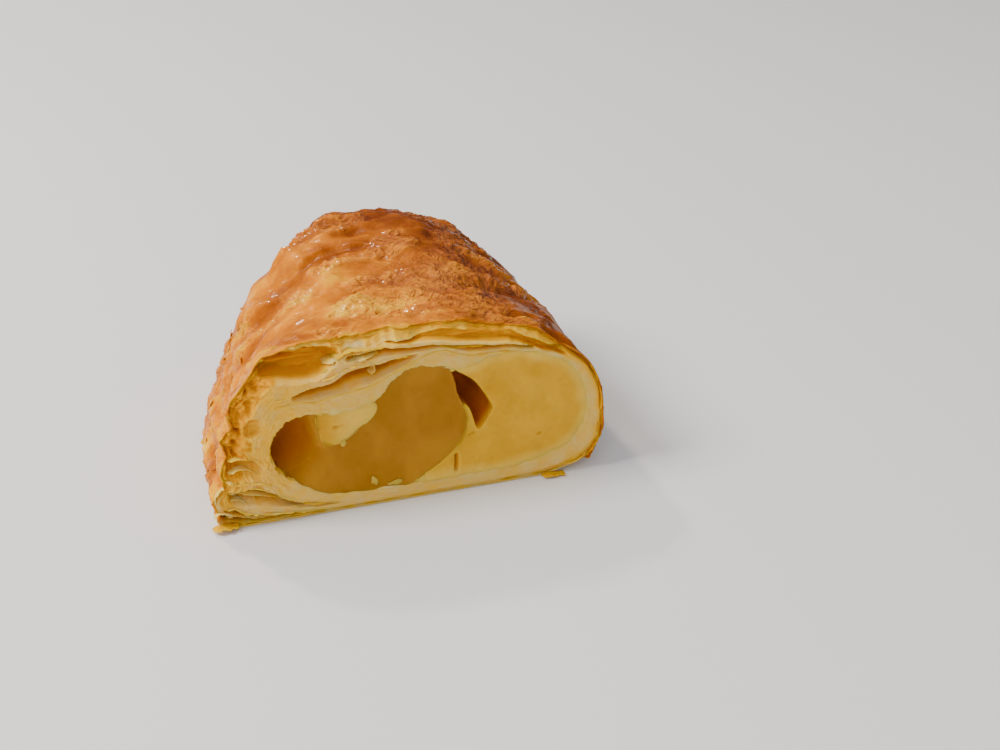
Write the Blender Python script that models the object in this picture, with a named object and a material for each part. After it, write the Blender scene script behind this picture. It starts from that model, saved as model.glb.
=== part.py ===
"""Half of a folded puff-pastry apple pie, cut across to show its custard and apple.

Metres, +Z up. The pie stands on its flat underside. The cut face looks along -Y, the
layered seam side is at -X, the smooth fold at +X and the sealed end at +Y. Shapes are
worked out with the origin at the seam's tip and moved to the base centre at the end.
"""

import math

import bmesh
import bpy
import numpy as np
from mathutils import Matrix, Vector, noise

MM = 0.001

# Driving sizes of the whole half
DEPTH = 78 * MM
WALL_DEPTH = 71 * MM
SECTION_CENTRE = (50 * MM, 14 * MM)
REACH_LEFT = 49.5 * MM
REACH_RIGHT = 38.5 * MM
REACH_UP = 25.4 * MM
REACH_DOWN = 15 * MM
FLANK_LEAN = (0.21, 0.40)
CORNER_RUN = 22 * MM
CROWN_HEIGHT = 4.5 * MM
CROWN_PLACE = (56 * MM, 56 * MM)
CROWN_SPREAD = (24 * MM, 26 * MM)

# How square each quarter of the section is: 2 is an ellipse, more is boxier
SQUARE_TOP_LEFT = (6.0, 3.5)
SQUARE_TOP_RIGHT = 2.1
SQUARE_BOTTOM_RIGHT = 3.3
SQUARE_BOTTOM_LEFT = 9.0

# How abruptly each side closes towards the sealed end
CLOSE_LEFT = 2.75
CLOSE_RIGHT = 5.5
CLOSE_UP = 9.0
END_CENTRE_HEIGHT = 10 * MM
END_ROUNDING = 1.7

# The pocket that holds the filling, as it shows on the cut face
POCKET_DEPTH = 67 * MM
POCKET_CLOSE = 4.0
FLOOR_THICKNESS = 3.6 * MM
POCKET_OUTLINE = [
    (19.5, 7.6), (14.6, 12.0), (13.2, 17.0), (15.6, 22.4), (20.4, 24.6), (28.0, 24.0),
    (35.5, 25.2), (40.0, 29.6), (44.5, 32.0), (50.0, 31.4), (55.0, 30.0), (64.0, 32.2),
    (73.0, 31.0), (81.0, 26.2), (84.4, 18.0), (82.6, 10.0), (76.5, 5.6), (66.0, 3.7),
    (50.0, 3.6), (36.0, 3.6), (26.0, 4.4),
]

# Anchors that match the outer and inner outline: share of the loop, outer, inner point
ANCHORS = [
    (0.00, (0.6, 0.0), (19.5, 7.6)),
    (0.18, (9.5, 37.5), (15.6, 22.4)),
    (0.43, (48.0, 40.0), (47.5, 31.8)),
    (0.66, (88.5, 14.0), (84.2, 16.0)),
    (0.73, (80.0, 0.0), (76.5, 5.6)),
]
POINTS_BETWEEN_ANCHORS = (19, 24, 20, 8, 12)

# Levels across the pastry wall at the cut, 0 at the outside and 1 at the filling
WALL_LEVELS = (0.10, 0.22, 0.40, 0.70, 1.0)
# How far the crust's torn edge lies back: share of the loop and setback
TORN_EDGE = (
    (0.0, 4.0 * MM), (0.05, 5.5 * MM), (0.17, 5.0 * MM), (0.24, 2.6 * MM),
    (0.45, 2.8 * MM), (0.58, 1.6 * MM), (0.64, 0.6 * MM), (0.72, 0.4 * MM),
    (0.94, 0.4 * MM), (1.0, 4.0 * MM),
)
# Gaps between the pastry sheets that open on the cut face: outline, middle, depth
SHEET_GAPS = {
    "gap_under_crust": (
        [(13.6, 36.4), (17.5, 38.6), (23.0, 38.4), (28.5, 37.0), (30.0, 35.8), (26.0, 34.2),
         (21.0, 32.0), (15.5, 31.6)], (27, 34.0), 8.0),
    "gap_above_filling": (
        [(20.5, 28.6), (26.0, 29.9), (33.0, 31.2), (41.5, 33.9), (38.0, 31.2), (31.0, 28.3),
         (24.0, 27.2)], (30, 29.7), 9.0),
    "slit_under_crust": (
        [(33.0, 37.6), (43.0, 38.0), (54.0, 37.2), (64.0, 35.2), (54.0, 36.2), (43.0, 36.9)],
        (47, 37.1), 7.0),
    "seam_pocket": (
        [(4.6, 8.4), (9.0, 10.3), (14.0, 9.0), (20.0, 6.0), (27.0, 3.0), (17.0, 3.2),
         (9.0, 4.6)], (12, 6.4), 10.0),
    "seam_slot": (
        [(2.6, 3.2), (8.0, 3.5), (14.0, 2.1), (9.0, 1.0), (4.0, 1.4)], (8, 2.3), 9.0),
    "seam_top": (
        [(3.8, 14.6), (8.0, 15.6), (11.6, 14.2), (9.0, 12.8), (5.0, 12.4)], (8, 14), 9.0),
}

# Relief of the crust
BLISTER_HEIGHT = 0.9 * MM
BLISTER_SPAN = 12 * MM
RIDGE_HEIGHT = 0.9 * MM
RIDGE_SPAN = (13 * MM, 5 * MM, 9 * MM)
LAYER_HEIGHT = 0.8 * MM
LAYER_PITCH = 6.6 * MM
LAYERED_UP_TO = 30 * MM
RELIEF_SEED = Vector((3.1, 7.7, 1.9))

# The apple chunk, the hollow at its left and the dollop of custard above it
APPLE_OUTLINE = [
    (9.0, 13.0), (11.0, 24.0), (20.0, 27.0), (31.0, 26.5), (38.0, 27.0), (41.5, 31.2),
    (46.0, 33.5), (51.0, 32.0), (53.2, 27.5), (54.0, 23.5), (56.3, 18.0), (55.0, 12.6),
    (50.4, 8.0), (45.0, 5.0), (38.0, 2.0), (22.0, 1.0), (12.0, 5.0),
]
APPLE_MIDDLE = (33, 15)
APPLE_DEPTHS = ((0.0, 1.0), (9.0, 1.02), (17.0, 0.97), (22.0, 0.84), (24.5, 0.6))
HOLLOW_CENTRE = (15.2, -0.5, 18.0)
HOLLOW_RADII = (8.6, 9.5, 7.4)
DOLLOP_OUTLINE = [
    (30.0, 26.0), (36.2, 24.6), (35.8, 22.0), (33.0, 19.6), (29.8, 17.4), (27.2, 16.4),
    (24.8, 17.2), (24.2, 20.0), (23.9, 24.0),
]
DOLLOP_MIDDLE = (29, 21)
DOLLOP_DEPTHS = ((-0.4, 0.93), (0.6, 1.0), (4.5, 0.96), (7.0, 0.7))
HOLE_OUTLINE = [
    (52.9, 29.6), (58.0, 26.8), (62.2, 20.4), (62.4, 18.2), (59.0, 13.8), (57.6, 17.0),
    (56.6, 20.0), (53.6, 23.6),
]
HOLE_MIDDLE = (57.5, 21)
HOLE_DEPTHS = ((-2.0, 1.04), (0.5, 1.0), (8.0, 0.9), (13.0, 0.62))
CLEARANCE = 0.3 * MM


def smooth_step(low, high, value):
    """0 below low, 1 above high, and a smooth rise between."""
    t = np.clip((value - low) / (high - low), 0.0, 1.0)
    return t * t * (3 - 2 * t)


def closing(depth, total, power):
    """How much of a reach is left at this depth, falling to 0 at total."""
    return np.maximum(1 - (depth / total) ** power, 0.0) ** (1 / power)


def outer_section(depth, angles):
    """The pie's outer outline at one depth, at these superellipse angles."""
    left = REACH_LEFT * closing(depth, DEPTH, CLOSE_LEFT)
    right = REACH_RIGHT * closing(depth, DEPTH, CLOSE_RIGHT)
    up = REACH_UP * closing(depth, DEPTH, CLOSE_UP)
    cosine, sine = np.cos(angles), np.sin(angles)
    inner = smooth_step(0.0, CORNER_RUN, depth)
    top_left = SQUARE_TOP_LEFT[0] + (SQUARE_TOP_LEFT[1] - SQUARE_TOP_LEFT[0]) * inner
    lean = FLANK_LEAN[0] + (FLANK_LEAN[1] - FLANK_LEAN[0]) * inner
    square = np.where(
        sine >= 0,
        np.where(cosine >= 0, SQUARE_TOP_RIGHT, top_left),
        np.where(cosine >= 0, SQUARE_BOTTOM_RIGHT, SQUARE_BOTTOM_LEFT),
    )
    x = np.sign(cosine) * np.abs(cosine) ** (2 / square) * np.where(cosine < 0, left, right)
    z = np.sign(sine) * np.abs(sine) ** (2 / square) * np.where(sine < 0, REACH_DOWN, up)
    height = np.maximum(SECTION_CENTRE[1] + z, 0.0)
    across = SECTION_CENTRE[0] + x + lean * height * np.maximum(-x, 0.0) / left
    bump = np.exp(-((across - CROWN_PLACE[0]) / CROWN_SPREAD[0]) ** 2
                  - ((depth - CROWN_PLACE[1]) / CROWN_SPREAD[1]) ** 2)
    upper = smooth_step(0.4, 1.0, height / (SECTION_CENTRE[1] + REACH_UP))
    return across, height + CROWN_HEIGHT * bump * upper


def closed_spline(points, per_span=24):
    """A smooth closed curve through these points (Catmull-Rom), as an array."""
    p = np.array(points, float)
    t = np.linspace(0, 1, per_span, endpoint=False)[:, None]
    spans = []
    for i in range(len(p)):
        a, b, c, d = (p[(i + k) % len(p)] for k in (-1, 0, 1, 2))
        spans.append(0.5 * (2 * b + (c - a) * t + (2 * a - 5 * b + 4 * c - d) * t**2
                            + (3 * b - a - 3 * c + d) * t**3))
    return np.concatenate(spans)


def lengths_along(loop):
    """The distance along a closed loop to each of its points, and its whole length."""
    steps = np.linalg.norm(np.roll(loop, -1, axis=0) - loop, axis=1)
    return np.concatenate([[0.0], np.cumsum(steps)])


def nearest(loop, point):
    """The index of the loop's point nearest this one."""
    return int(np.argmin(np.linalg.norm(loop - np.array(point), axis=1)))


def between_anchors(loop, anchors):
    """Indices, as fractions, of evenly spaced places between each pair of anchors."""
    along = lengths_along(loop)
    total = along[-1]
    starts = [along[nearest(loop, point)] for point in anchors]
    places = []
    for i, count in enumerate(POINTS_BETWEEN_ANCHORS):
        begin = starts[i]
        end = starts[(i + 1) % len(starts)]
        if end <= begin:
            end += total
        places += [begin + (end - begin) * k / count for k in range(count)]
    return np.interp(np.mod(places, total), along, np.arange(len(along)))


def at_places(loop, places):
    """The loop's points at these fractional indices."""
    whole = np.vstack([loop, loop[:1]])
    index = np.arange(len(whole))
    return np.stack([np.interp(places, index, whole[:, k]) for k in range(2)], axis=1)


def loop_shares():
    """The share of the loop at each sample, by the anchors' own shares."""
    marks = [a[0] for a in ANCHORS] + [1.0]
    shares = []
    for i, count in enumerate(POINTS_BETWEEN_ANCHORS):
        shares += [marks[i] + (marks[i + 1] - marks[i]) * k / count for k in range(count)]
    return np.array(shares)


def outer_angles():
    """Superellipse angles of the samples, clockwise from the seam's tip."""
    dense = np.linspace(0, -2 * math.pi, 6000, endpoint=False) + math.radians(200)
    x, z = outer_section(0.0, dense)
    loop = np.stack([x, z], axis=1)
    places = between_anchors(loop, [np.array(a[1]) * MM for a in ANCHORS])
    return dense[0] - places * 2 * math.pi / len(dense)


def pocket_loop():
    """The filling's outline on the cut face, sampled to match the outer outline."""
    loop = closed_spline(np.array(POCKET_OUTLINE) * MM)
    return at_places(loop, between_anchors(loop, [np.array(a[2]) * MM for a in ANCHORS]))


def pocket_section(loop, depth):
    """The pocket's outline at one depth, in over a floor that stays flat."""
    centre = np.array([SECTION_CENTRE[0], SECTION_CENTRE[1] + 3 * MM])
    shrunk = centre + (loop - centre) * closing(depth, POCKET_DEPTH, POCKET_CLOSE)
    shrunk[:, 1] = np.maximum(shrunk[:, 1], FLOOR_THICKNESS)
    return shrunk


def offset_loop(loop, distance):
    """A loop that runs clockwise, moved inwards by this distance."""
    along = np.roll(loop, -1, axis=0) - np.roll(loop, 1, axis=0)
    along /= np.maximum(np.linalg.norm(along, axis=1), 1e-9)[:, None]
    return loop + distance * np.stack([along[:, 1], -along[:, 0]], axis=1)


def with_depth(loop, depth):
    """Loop points (x, z) as space points at this depth or these depths."""
    return np.stack([loop[:, 0], np.broadcast_to(depth, len(loop)), loop[:, 1]], axis=1)


def noise_at(point, span):
    """Smooth noise from -1 to 1 whose bumps are about as wide as span."""
    scaled = Vector((point[0] / span[0], point[1] / span[1], point[2] / span[2]))
    return noise.noise(scaled + RELIEF_SEED)


def crust_relief(point, normal):
    """How far the crust stands out of its plain form here: blisters, ridges, layers."""
    blister = noise_at(point, (BLISTER_SPAN,) * 3)
    ridge = 1 - 2.6 * abs(noise_at(point, RIDGE_SPAN))
    fine = noise_at(point, (4.5 * MM,) * 3)
    high = BLISTER_HEIGHT * blister + RIDGE_HEIGHT * ridge * 0.6 + 0.35 * MM * fine
    wall = smooth_step(0.35, 0.75, 1 - abs(normal[2]))
    low = 1 - smooth_step(LAYERED_UP_TO - 6 * MM, LAYERED_UP_TO, point[2])
    fold = smooth_step(0.2, 0.8, normal[0])
    warp = 0.5 * noise_at(point, (20 * MM, 20 * MM, 60 * MM))
    wave = 2 * abs(2 * ((point[2] / LAYER_PITCH + warp) % 1.0) - 1) - 1
    layered = wall * low * (1 - fold)
    off_floor = smooth_step(0.2 * MM, 4 * MM, point[2])
    relief = high * (1 - 0.5 * layered) * (1 - 0.7 * fold) + LAYER_HEIGHT * wave * layered
    return relief * off_floor


def ring_normals(rings):
    """Outward normals of a grid of rings, by differences along and across it."""
    around = np.roll(rings, -1, axis=1) - np.roll(rings, 1, axis=1)
    across = np.gradient(rings, axis=0)
    normals = np.cross(around, across)
    return normals / np.maximum(np.linalg.norm(normals, axis=2), 1e-12)[..., None]


def end_wall_rings(last):
    """Rings that close the sealed end: the last section, drawn in and bulging back."""
    middle = np.array([last[:, 0].min() * 0.5 + last[:, 0].max() * 0.5, END_CENTRE_HEIGHT])
    rings = []
    for share in (0.1, 0.2, 0.3, 0.4, 0.5, 0.6, 0.7, 0.8, 0.9):
        bulge = (1 - share**END_ROUNDING) ** (1 / END_ROUNDING)
        section = middle + (last[:, [0, 2]] - middle) * share
        rings.append(with_depth(section, WALL_DEPTH + (DEPTH - WALL_DEPTH) * bulge))
    return rings


def crust_rings(angles):
    """The outer surface as rings, from the sealed end to the cut."""
    shares = np.array([1.0, 0.985, 0.965, 0.94, 0.905, 0.865, 0.82, 0.77, 0.715, 0.66, 0.605,
                       0.55, 0.495, 0.44, 0.385, 0.33, 0.275, 0.22, 0.165, 0.11, 0.055, 0.0])
    body = [
        with_depth(np.stack(outer_section(depth, angles), axis=1), depth)
        for depth in WALL_DEPTH * shares
    ]
    end_wall = end_wall_rings(body[0])
    rings = np.array([*end_wall, *body])
    normals = -ring_normals(rings)
    strengths = np.minimum(np.arange(1, len(rings) + 1) / (0.7 * len(end_wall)), 1.0)
    for ring, ring_normal, strength in zip(rings, normals, strengths):
        for i, (point, normal) in enumerate(zip(ring.copy(), ring_normal)):
            ring[i] = point + normal * crust_relief(point, normal) * strength
    rings[..., 2] = np.maximum(rings[..., 2], 0.0)
    return rings


def cut_setback(shares, level, loop):
    """How far back the cut face lies at this level of the wall: the crust's torn edge."""
    torn = np.interp(shares, *zip(*TORN_EDGE))
    ragged = np.array([noise.noise(Vector((p[0], level * 0.012, p[1])) / (5 * MM)) for p in loop])
    fade = 1 - smooth_step(0.0, 0.5, level)
    return np.maximum(torn * fade * (1 + 0.35 * ragged), 0.0)


def cut_rings(outer, pocket, shares):
    """Rings across the pastry wall at the cut."""
    rings = []
    for level in WALL_LEVELS:
        loop = outer + (pocket - outer) * level
        depth = cut_setback(shares, level, loop) if level < 1.0 else 0.0
        rings.append(with_depth(loop, depth))
    return rings


def pocket_rings(pocket):
    """Rings down the inside of the pocket, to its end."""
    turns = np.radians([14, 30, 48, 66, 81, 88])
    depths = POCKET_DEPTH * np.sin(turns) ** (2 / POCKET_CLOSE)
    return [with_depth(pocket_section(pocket, depth), depth) for depth in depths]


def mesh_from_rings(name, rings, close_start=True, close_end=True):
    """A closed mesh through rings of equal count, with a fan at each closed end."""
    bm = bmesh.new()
    rows = [[bm.verts.new(point) for point in ring] for ring in rings]
    count = len(rows[0])
    for first, second in zip(rows, rows[1:]):
        for i in range(count):
            k = (i + 1) % count
            bm.faces.new((first[i], first[k], second[k], second[i]))
    for row, wanted in ((rows[0], close_start), (rows[-1], close_end)):
        if wanted:
            middle = bm.verts.new(sum((v.co for v in row), Vector()) / count)
            for i in range(count):
                bm.faces.new((row[i], row[(i + 1) % count], middle))
    bmesh.ops.recalc_face_normals(bm, faces=bm.faces)
    bmesh.ops.triangulate(bm, faces=bm.faces)
    mesh = bpy.data.meshes.new(name)
    bm.to_mesh(mesh)
    bm.free()
    return mesh


def prism_from_outline(name, outline, middle, depths, grow=0.0, count=56):
    """A solid whose outline (mm) is swept along Y and scaled about its middle."""
    loop = closed_spline(outline)
    along = lengths_along(loop)
    places = np.interp(np.linspace(0, along[-1], count, endpoint=False), along,
                       np.arange(len(along)))
    loop = offset_loop(at_places(loop, places), -grow / MM)
    centre = np.array(middle, float)
    sections = [(centre + (loop - centre) * scale) * MM for _, scale in depths]
    bm = bmesh.new()
    rows = [
        [bm.verts.new(point) for point in with_depth(section, depth * MM)]
        for section, (depth, _) in zip(sections, depths)
    ]
    for first, second in zip(rows, rows[1:]):
        for i in range(count):
            k = (i + 1) % count
            bm.faces.new((first[i], first[k], second[k], second[i]))
    bm.faces.new(rows[0])
    bm.faces.new(rows[-1][::-1])
    bmesh.ops.recalc_face_normals(bm, faces=bm.faces)
    mesh = bpy.data.meshes.new(name)
    bm.to_mesh(mesh)
    bm.free()
    return mesh


def new_collection(name):
    """A new collection in the scene."""
    collection = bpy.data.collections.new(name)
    bpy.context.scene.collection.children.link(collection)
    return collection


def add_object(name, mesh, collection):
    """A new object that holds this mesh."""
    obj = bpy.data.objects.new(name, mesh)
    collection.objects.link(obj)
    return obj


def food_material(name, colour, roughness):
    """A plain material in the food's colour."""
    material = bpy.data.materials.new(name)
    material.use_nodes = True
    shader = material.node_tree.nodes["Principled BSDF"]
    shader.inputs["Base Color"].default_value = (*colour, 1.0)
    shader.inputs["Roughness"].default_value = roughness
    shader.inputs["Metallic"].default_value = 0.0
    return material


def boolean(obj, other, operation):
    """Adds a Boolean with another object."""
    modifier = obj.modifiers.new(f"{operation.lower()} {other.name}", "BOOLEAN")
    modifier.operation = operation
    modifier.solver = "EXACT"
    modifier.object = other
    return modifier


def make_cutter(name, mesh, collection):
    """A helper solid that cuts others and isn't part of the pie."""
    cutter = add_object(name, mesh, collection)
    cutter.hide_render = True
    cutter.display_type = "WIRE"
    return cutter


def make_pastry(angles, pocket, shares, parts, cutters):
    """The puff-pastry case: crust, cut edge with its gaps, and the filling's pocket."""
    crust = crust_rings(angles)
    outer = crust[-1][:, [0, 2]]
    front = crust[-1]
    front[:, 1] = cut_setback(shares, 0.0, outer)
    rings = [*crust[:-1], front, *cut_rings(outer, pocket, shares), *pocket_rings(pocket)]
    pastry = add_object("pastry", mesh_from_rings("pastry", rings), parts)
    for name, (outline, middle, depth) in SHEET_GAPS.items():
        steps = ((-4.0, 1.0), (1.0, 1.0), (depth * 0.7, 0.8), (depth, 0.5))
        cutter = make_cutter(name, prism_from_outline(name, outline, middle, steps, count=20), cutters)
        boolean(pastry, cutter, "DIFFERENCE")
    pastry.data.materials.append(food_material("baked pastry", (0.72, 0.42, 0.13), 0.4))
    return pastry


def filling_mesh(name, pocket):
    """The whole filling as one solid, clear of the pastry all round."""
    wall = np.array([with_depth(pocket, 0.0), *pocket_rings(pocket)])
    normals = ring_normals(wall)
    normals[0, :, 1] = 0.0
    rings = wall - normals * CLEARANCE * 1.2
    rings[0, :, 1] = 0.0
    return mesh_from_rings(name, rings)


def make_filling(pocket, parts, cutters):
    """The custard, the apple chunk in it and the dollop of custard above the chunk."""
    bounds = make_cutter("filling_bounds", filling_mesh("filling_bounds", pocket), cutters)
    chunk_room = make_cutter("chunk_room", prism_from_outline(
        "chunk_room", APPLE_OUTLINE, APPLE_MIDDLE,
        [(d - 0.8 if d == 0 else d + CLEARANCE / MM, s) for d, s in APPLE_DEPTHS], CLEARANCE), cutters)
    hole = make_cutter("air_hole", prism_from_outline(
        "air_hole", HOLE_OUTLINE, HOLE_MIDDLE, HOLE_DEPTHS, count=28), cutters)
    dollop_room = make_cutter("dollop_room", prism_from_outline(
        "dollop_room", DOLLOP_OUTLINE, DOLLOP_MIDDLE,
        [(d + CLEARANCE / MM if s < 0.9 else d, s) for d, s in DOLLOP_DEPTHS], CLEARANCE, 32), cutters)
    bm = bmesh.new()
    bmesh.ops.create_uvsphere(bm, u_segments=28, v_segments=16, radius=1.0)
    shape = Matrix.Translation(Vector(HOLLOW_CENTRE) * MM) @ Matrix.Diagonal(
        (*(r * MM for r in HOLLOW_RADII), 1.0))
    bmesh.ops.transform(bm, matrix=shape, verts=bm.verts)
    hollow_mesh = bpy.data.meshes.new("syrup_hollow")
    bm.to_mesh(hollow_mesh)
    bm.free()
    hollow = make_cutter("syrup_hollow", hollow_mesh, cutters)

    custard = add_object("custard", filling_mesh("custard", pocket), parts)
    boolean(custard, chunk_room, "DIFFERENCE")
    boolean(custard, hole, "DIFFERENCE")
    custard.data.materials.append(food_material("custard", (0.85, 0.66, 0.25), 0.35))

    apple = add_object("apple_chunk", prism_from_outline(
        "apple_chunk", APPLE_OUTLINE, APPLE_MIDDLE, APPLE_DEPTHS), parts)
    boolean(apple, bounds, "INTERSECT")
    boolean(apple, hollow, "DIFFERENCE")
    boolean(apple, dollop_room, "DIFFERENCE")
    apple.data.materials.append(food_material("cooked apple", (0.62, 0.36, 0.07), 0.3))

    dollop = add_object("custard_dollop", prism_from_outline(
        "custard_dollop", DOLLOP_OUTLINE, DOLLOP_MIDDLE, DOLLOP_DEPTHS, count=32), parts)
    boolean(dollop, bounds, "INTERSECT")
    dollop.data.materials.append(food_material("custard dollop", (0.9, 0.72, 0.25), 0.35))


def centre_on_base(parts):
    """Moves every piece so that the pie's base centre is the origin."""
    bpy.context.view_layer.update()
    graph = bpy.context.evaluated_depsgraph_get()
    corners = [
        obj.matrix_world @ Vector(corner)
        for obj in parts.objects
        for corner in obj.evaluated_get(graph).bound_box
    ]
    low = Vector([min(c[k] for c in corners) for k in range(3)])
    high = Vector([max(c[k] for c in corners) for k in range(3)])
    shift = Vector((-(low.x + high.x) / 2, -(low.y + high.y) / 2, -low.z))
    for obj in bpy.data.objects:
        obj.location += shift


def main():
    """Builds the half pie from an empty scene."""
    for obj in list(bpy.data.objects):
        bpy.data.objects.remove(obj, do_unlink=True)
    parts = new_collection("apple pie half")
    cutters = new_collection("cutters")
    angles = outer_angles()
    shares = loop_shares()
    pocket = pocket_loop()
    make_pastry(angles, pocket, shares, parts, cutters)
    make_filling(pocket, parts, cutters)
    centre_on_base(parts)


main()
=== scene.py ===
"""Looks for half of a folded puff-pastry apple pie, cut across its filling.

The baked skin, the layered case under it, the thin sheets that open at the cut, the
custard and the cooked apple are each a piece of their own. Forms are worked out in
millimetres from the seam's tip at the cut: X along the cut face, Y into the pie, Z up.
"""

import logging
import math
from dataclasses import dataclass, field
from enum import Enum
from typing import Any, Callable, Sequence

import bmesh
import bpy
import numpy as np
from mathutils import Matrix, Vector, noise


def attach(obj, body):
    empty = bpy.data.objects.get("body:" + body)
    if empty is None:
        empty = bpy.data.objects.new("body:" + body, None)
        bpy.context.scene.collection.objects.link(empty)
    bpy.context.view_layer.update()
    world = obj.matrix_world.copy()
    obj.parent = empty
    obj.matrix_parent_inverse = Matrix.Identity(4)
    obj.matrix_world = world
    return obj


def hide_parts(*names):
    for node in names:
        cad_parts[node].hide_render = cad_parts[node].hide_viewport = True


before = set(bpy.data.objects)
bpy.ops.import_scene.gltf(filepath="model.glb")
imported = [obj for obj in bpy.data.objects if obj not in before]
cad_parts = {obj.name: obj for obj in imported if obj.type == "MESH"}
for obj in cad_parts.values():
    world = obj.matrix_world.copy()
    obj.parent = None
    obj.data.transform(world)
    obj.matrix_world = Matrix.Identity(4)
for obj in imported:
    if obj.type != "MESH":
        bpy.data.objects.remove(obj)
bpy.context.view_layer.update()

LOG = logging.getLogger("apple_pie")
MM = 0.001
SEAM_TIP = np.array([-44.792, -39.013, 0.0])
Points = np.ndarray


class Slot(Enum):
    """The record's material slots."""

    PASTRY = "baked_pastry"
    CUSTARD = "custard"
    APPLE = "cooked_apple"


# Numbers, curves and noise


def smooth_step(low: float, high: float, value: Points) -> Points:
    """0 below low, 1 above high, and a smooth rise between.

    Args:
        low: where the rise starts.
        high: where it ends.
        value: the values to map.

    Returns:
        Values from 0 to 1.
    """
    t = np.clip((value - low) / (high - low), 0.0, 1.0)
    return t * t * (3 - 2 * t)


def along_line(line: Sequence[tuple[float, float]], value: Points) -> Points:
    """The height of a line of points (x, y) at these x values.

    Args:
        line: points in rising x.
        value: where to read it.

    Returns:
        The interpolated y values.
    """
    xs, ys = zip(*line)
    return np.interp(value, xs, ys)


def spline_span(corners: Sequence[Points], samples: int) -> Points:
    """One span of a smooth curve (Catmull-Rom).

    Args:
        corners: the four points around the span.
        samples: how many places, without the span's end.

    Returns:
        The places between the second and third point.
    """
    a, b, c, d = corners
    t = np.linspace(0, 1, samples, endpoint=False)[:, None]
    return 0.5 * (2 * b + (c - a) * t + (2 * a - 5 * b + 4 * c - d) * t**2
                  + (3 * b - a - 3 * c + d) * t**3)


def closed_spline(points: Points, per_span: int = 24) -> Points:
    """A smooth closed curve through points.

    Args:
        points: the points in order.
        per_span: samples between two points.

    Returns:
        The curve's samples.
    """
    p = np.array(points, float)
    around = [np.roll(p, -k, axis=0) for k in (-1, 0, 1, 2)]
    return np.concatenate([spline_span(corners, per_span) for corners in zip(*around)])


def open_spline(points: Sequence[Sequence[float]], count: int) -> Points:
    """A smooth open curve through points, sampled evenly along its length.

    Args:
        points: the points in order, of any dimension.
        count: how many samples.

    Returns:
        The samples.
    """
    p = np.array(points, float)
    p = np.vstack([2 * p[0] - p[1], p, 2 * p[-1] - p[-2]])
    spans = [spline_span(corners, 16) for corners in zip(p, p[1:], p[2:], p[3:])]
    curve = np.vstack([*spans, p[-2:-1]])
    steps = np.linalg.norm(np.diff(curve, axis=0), axis=1)
    along = np.concatenate([[0.0], np.cumsum(steps)])
    wanted = np.linspace(0, along[-1], count)
    return np.stack([np.interp(wanted, along, curve[:, k]) for k in range(p.shape[1])], axis=1)


def outline_distance(spots: Points, outline: Sequence[tuple[float, float]]) -> Points:
    """How far places lie outside a closed outline, negative inside.

    Args:
        spots: places in the plane, last axis 2.
        outline: the outline's corners in order.

    Returns:
        One signed distance for each place.
    """
    corners = np.array(outline, float)
    nearest = np.full(len(spots), 1e9)
    inside = np.zeros(len(spots), bool)
    for a, b in zip(corners, np.roll(corners, -1, axis=0)):
        edge = b - a
        share = np.clip((spots - a) @ edge / (edge @ edge), 0.0, 1.0)
        nearest = np.minimum(nearest, np.linalg.norm(spots - a - share[:, None] * edge, axis=1))
        spans = (a[1] > spots[:, 1]) != (b[1] > spots[:, 1])
        rise = edge[1] if edge[1] else 1e-9
        inside ^= spans & (spots[:, 0] < a[0] + (spots[:, 1] - a[1]) * edge[0] / rise)
    return np.where(inside, -nearest, nearest)


class Grain:
    """Smooth random bumps in space, the same on every run."""

    def __init__(self, seed: int) -> None:
        """Draws the lattice's directions.

        Args:
            seed: the fixed seed.
        """
        rng = np.random.default_rng(seed)
        self.order = rng.permutation(256)
        directions = rng.normal(size=(256, 3))
        self.directions = directions / np.linalg.norm(directions, axis=1)[:, None]

    def at(self, points: Points, span: float | Sequence[float]) -> Points:
        """Bumps of about -1 to 1.

        Args:
            points: places, in millimetres, last axis 3.
            span: how wide the bumps are, in millimetres.

        Returns:
            One value for each place.
        """
        shape = points.shape[:-1]
        q = points.reshape(-1, 3) / np.asarray(span, float)
        cell = np.floor(q).astype(int)
        part = q - cell
        ease = part**3 * (part * (part * 6 - 15) + 10)
        total = np.zeros(len(q))
        for corner in np.ndindex(2, 2, 2):
            place = cell + corner
            hashed = self.order[place[:, 0] & 255]
            hashed = self.order[(hashed + place[:, 1]) & 255]
            hashed = self.order[(hashed + place[:, 2]) & 255]
            dots = np.sum(self.directions[hashed] * (part - corner), axis=1)
            total += dots * np.prod(np.where(np.array(corner) == 1, ease, 1 - ease), axis=1)
        return (total * 1.75).reshape(shape)

    def layered(self, points: Points, span: float, octaves: int = 3) -> Points:
        """Bumps with ever finer bumps on them.

        Args:
            points: places, in millimetres.
            span: the widest bumps.
            octaves: how many sizes.

        Returns:
            One value for each place.
        """
        total = 0.0
        for k in range(octaves):
            total = total + self.at(points + 37.7 * k, span / 2**k) / 2**k
        return total

    def creased(self, points: Points, span: float | Sequence[float]) -> Points:
        """Sharp ridges where the bumps pass zero, from about -1 to 1.

        Args:
            points: places, in millimetres.
            span: how far apart the ridges are.

        Returns:
            One value for each place.
        """
        return 1 - 2.6 * np.abs(self.at(points, span))


# The pie's form, from the same sizes as the solid


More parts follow.
